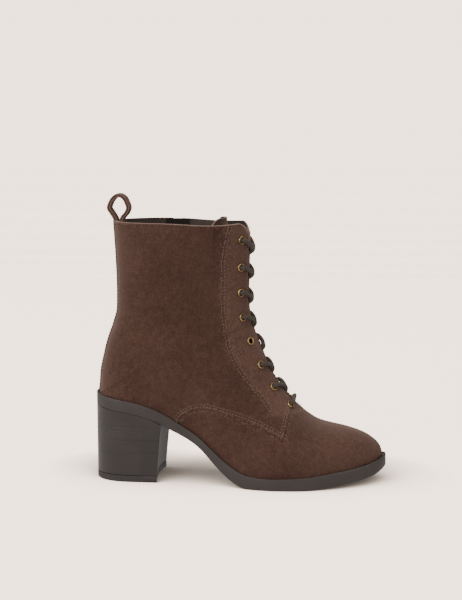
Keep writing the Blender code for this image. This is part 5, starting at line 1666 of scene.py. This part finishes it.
foot = TOP_PIECE + CLEARANCE
levels = [(0.0, HEEL_EDGE, 0.0), (0.0, 0.0, HEEL_EDGE), (1.0, 0.0, -SEAT_EDGE), (1.0, SEAT_EDGE, 0.0)]
rings = []
for share, inset, rise in levels:
    ring = heel_between(share, inset)
    top = sole_under(ring[:, 0]) - CLEARANCE
    rings.append(np.column_stack([ring, foot + share * (top - foot) + rise]))
heel = loft("heel_stacked", rings, (heel_rubber,), BREAST_POINTS)
levels = [(TREAD_EDGE, 0.0), (0.0, TREAD_EDGE), (0.0, TOP_PIECE - SEAT_EDGE), (SEAT_EDGE, TOP_PIECE)]
rings = []
for inset, z in levels:
    ring = heel_between(0.0, inset)
    rings.append(np.column_stack([ring, np.full(len(ring), z)]))
top_piece = loft("top_piece_rubber", rings, (tread_rubber,), BREAST_POINTS)
rings = []
for inset, rise in ((0.0, 0.0), (0.0, INSOLE - INSOLE_EDGE), (INSOLE_EDGE, INSOLE)):
    ring = sole_ring(FEATHER_INSET + WALL + INSOLE_GAP + inset)
    rings.append(np.column_stack([ring, sole_bed(ring[:, 0]) + BED_GAP + rise]))
insole = loft("insole_leather", rings, (insole_leather,))
for obj, name, label in (
    (outsole, "outsole", "sole"),
    (heel, "heel_block", "heel"),
    (top_piece, "heel_top_piece", "top_piece"),
    (insole, "insole", "insole"),
):
    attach(obj, "boot")
    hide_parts(name)
print("sole and heel made")

# %% [markdown]
# ## The zip
#
# The inner side closes with a zip: a woven tape behind a slot, two rows of metal teeth, a slider and a
# pull that swings on the slider's bridge. The teeth are one tooth repeated by the same tree as the
# eyelets.

# %% Zip
ZIP_TAPE_WIDTH, ZIP_TAPE, ZIP_CHAIN, ZIP_STOP = 0.0200, 0.0006, 0.0014, 0.0040
TOOTH_PITCH, TOOTH_HALF_LENGTH, TOOTH_HALF, TOOTH_ASIDE = 0.0021, 0.0017, 0.0006, 0.0007
tape_level = -WALL - LINING_GAP
heights = np.linspace(ZIP_FOOT - ZIP_TAPE_WIDTH / 4, BOOT_HEIGHT - 2 * CLEARANCE, 60)
across = ZIP_ALONG + np.linspace(-0.5, 0.5, 13) * ZIP_TAPE_WIDTH
found = [[last.locate(float(x), float(z)) for x in across] for z in heights]
grids = [
    np.array([[last.row(key, [arc], out)[0][0] for key, arc in line] for line in found])
    for out in (tape_level, tape_level - ZIP_TAPE)
]
zip_tape = shell("zip_tape_woven", *grids, (tape_weave, tape_weave, tape_weave))
low, high = ZIP_FOOT + CLEARANCE, BOOT_HEIGHT - ZIP_STOP
spots, directions = [], []
for number, z in enumerate(np.arange(low + TOOTH_PITCH / 2, high, TOOTH_PITCH / 2)):
    side = 1 if number % 2 else -1
    key, arc = last.locate(ZIP_ALONG + side * TOOTH_ASIDE, float(z))
    point, normal = last.row(key, [arc], tape_level + CLEARANCE + ZIP_CHAIN / 2)
    spots.append(point[0])
    directions.append(normal[0])
corners = [(-1, -1), (1, -1), (1, 1), (-1, 1)]
outline = [(x * TOOTH_HALF_LENGTH, z * TOOTH_HALF) for x, z in corners]
tooth = prism("tooth", outline, -TOOTH_HALF, TOOTH_HALF, (brass,))
tooth.data.transform(Matrix.Translation((HEEL_LENGTH / 2, 0, 0)))
tooth.data.polygons.foreach_set("material_index", [0] * len(tooth.data.polygons))
tooth.data.transform(Matrix.Rotation(math.radians(90), 4, "X"))
teeth = set_on("zip_teeth", spots, directions, tooth, brass)


def softened(node_name, width, metal):
    """A copy of a hard piece with its edges rounded."""
    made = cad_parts[node_name].copy()
    made.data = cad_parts[node_name].data.copy()
    made.name = f"{node_name}_rounded"
    made.parent = None
    for key in list(made.keys()):
        del made[key]
    made.matrix_world = Matrix.Identity(4)
    bpy.context.scene.collection.objects.link(made)
    work = bmesh.new()
    work.from_mesh(made.data)
    bmesh.ops.remove_doubles(work, verts=work.verts, dist=1e-6)
    bmesh.ops.dissolve_limit(work, angle_limit=math.radians(1), verts=work.verts, edges=work.edges)
    work.to_mesh(made.data)
    work.free()
    step = made.modifiers.new("edges", "BEVEL")
    step.width, step.segments, step.limit_method, step.angle_limit = width, 3, "ANGLE", math.radians(30)
    plain_copy(made)
    made.data.materials.clear()
    made.data.materials.append(metal)
    made.data.shade_smooth()
    made.data.set_sharp_from_angle(angle=math.radians(35))
    return made


slider, pull = (softened(name, 0.0003, brass) for name in ("zip_slider", "zip_pull"))
for obj, body, name, label in (
    (zip_tape, "boot", "zip_tape", "zip_tape"),
    (teeth, "boot", "zip_chain", "zip_metal"),
    (slider, "boot", "zip_slider", "zip_metal"),
    (pull, "zip_pull", "zip_pull", "zip_metal"),
):
    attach(obj, body)
    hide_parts(name)

# %% Sizes and finish
visual_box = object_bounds()
boxes = {"cad": cad_box, "visual": visual_box}
{name: [[float(v) for v in corner] for corner in box] for name, box in boxes.items()}
print("visual box", [[round(float(v), 4) for v in corner] for corner in visual_box])
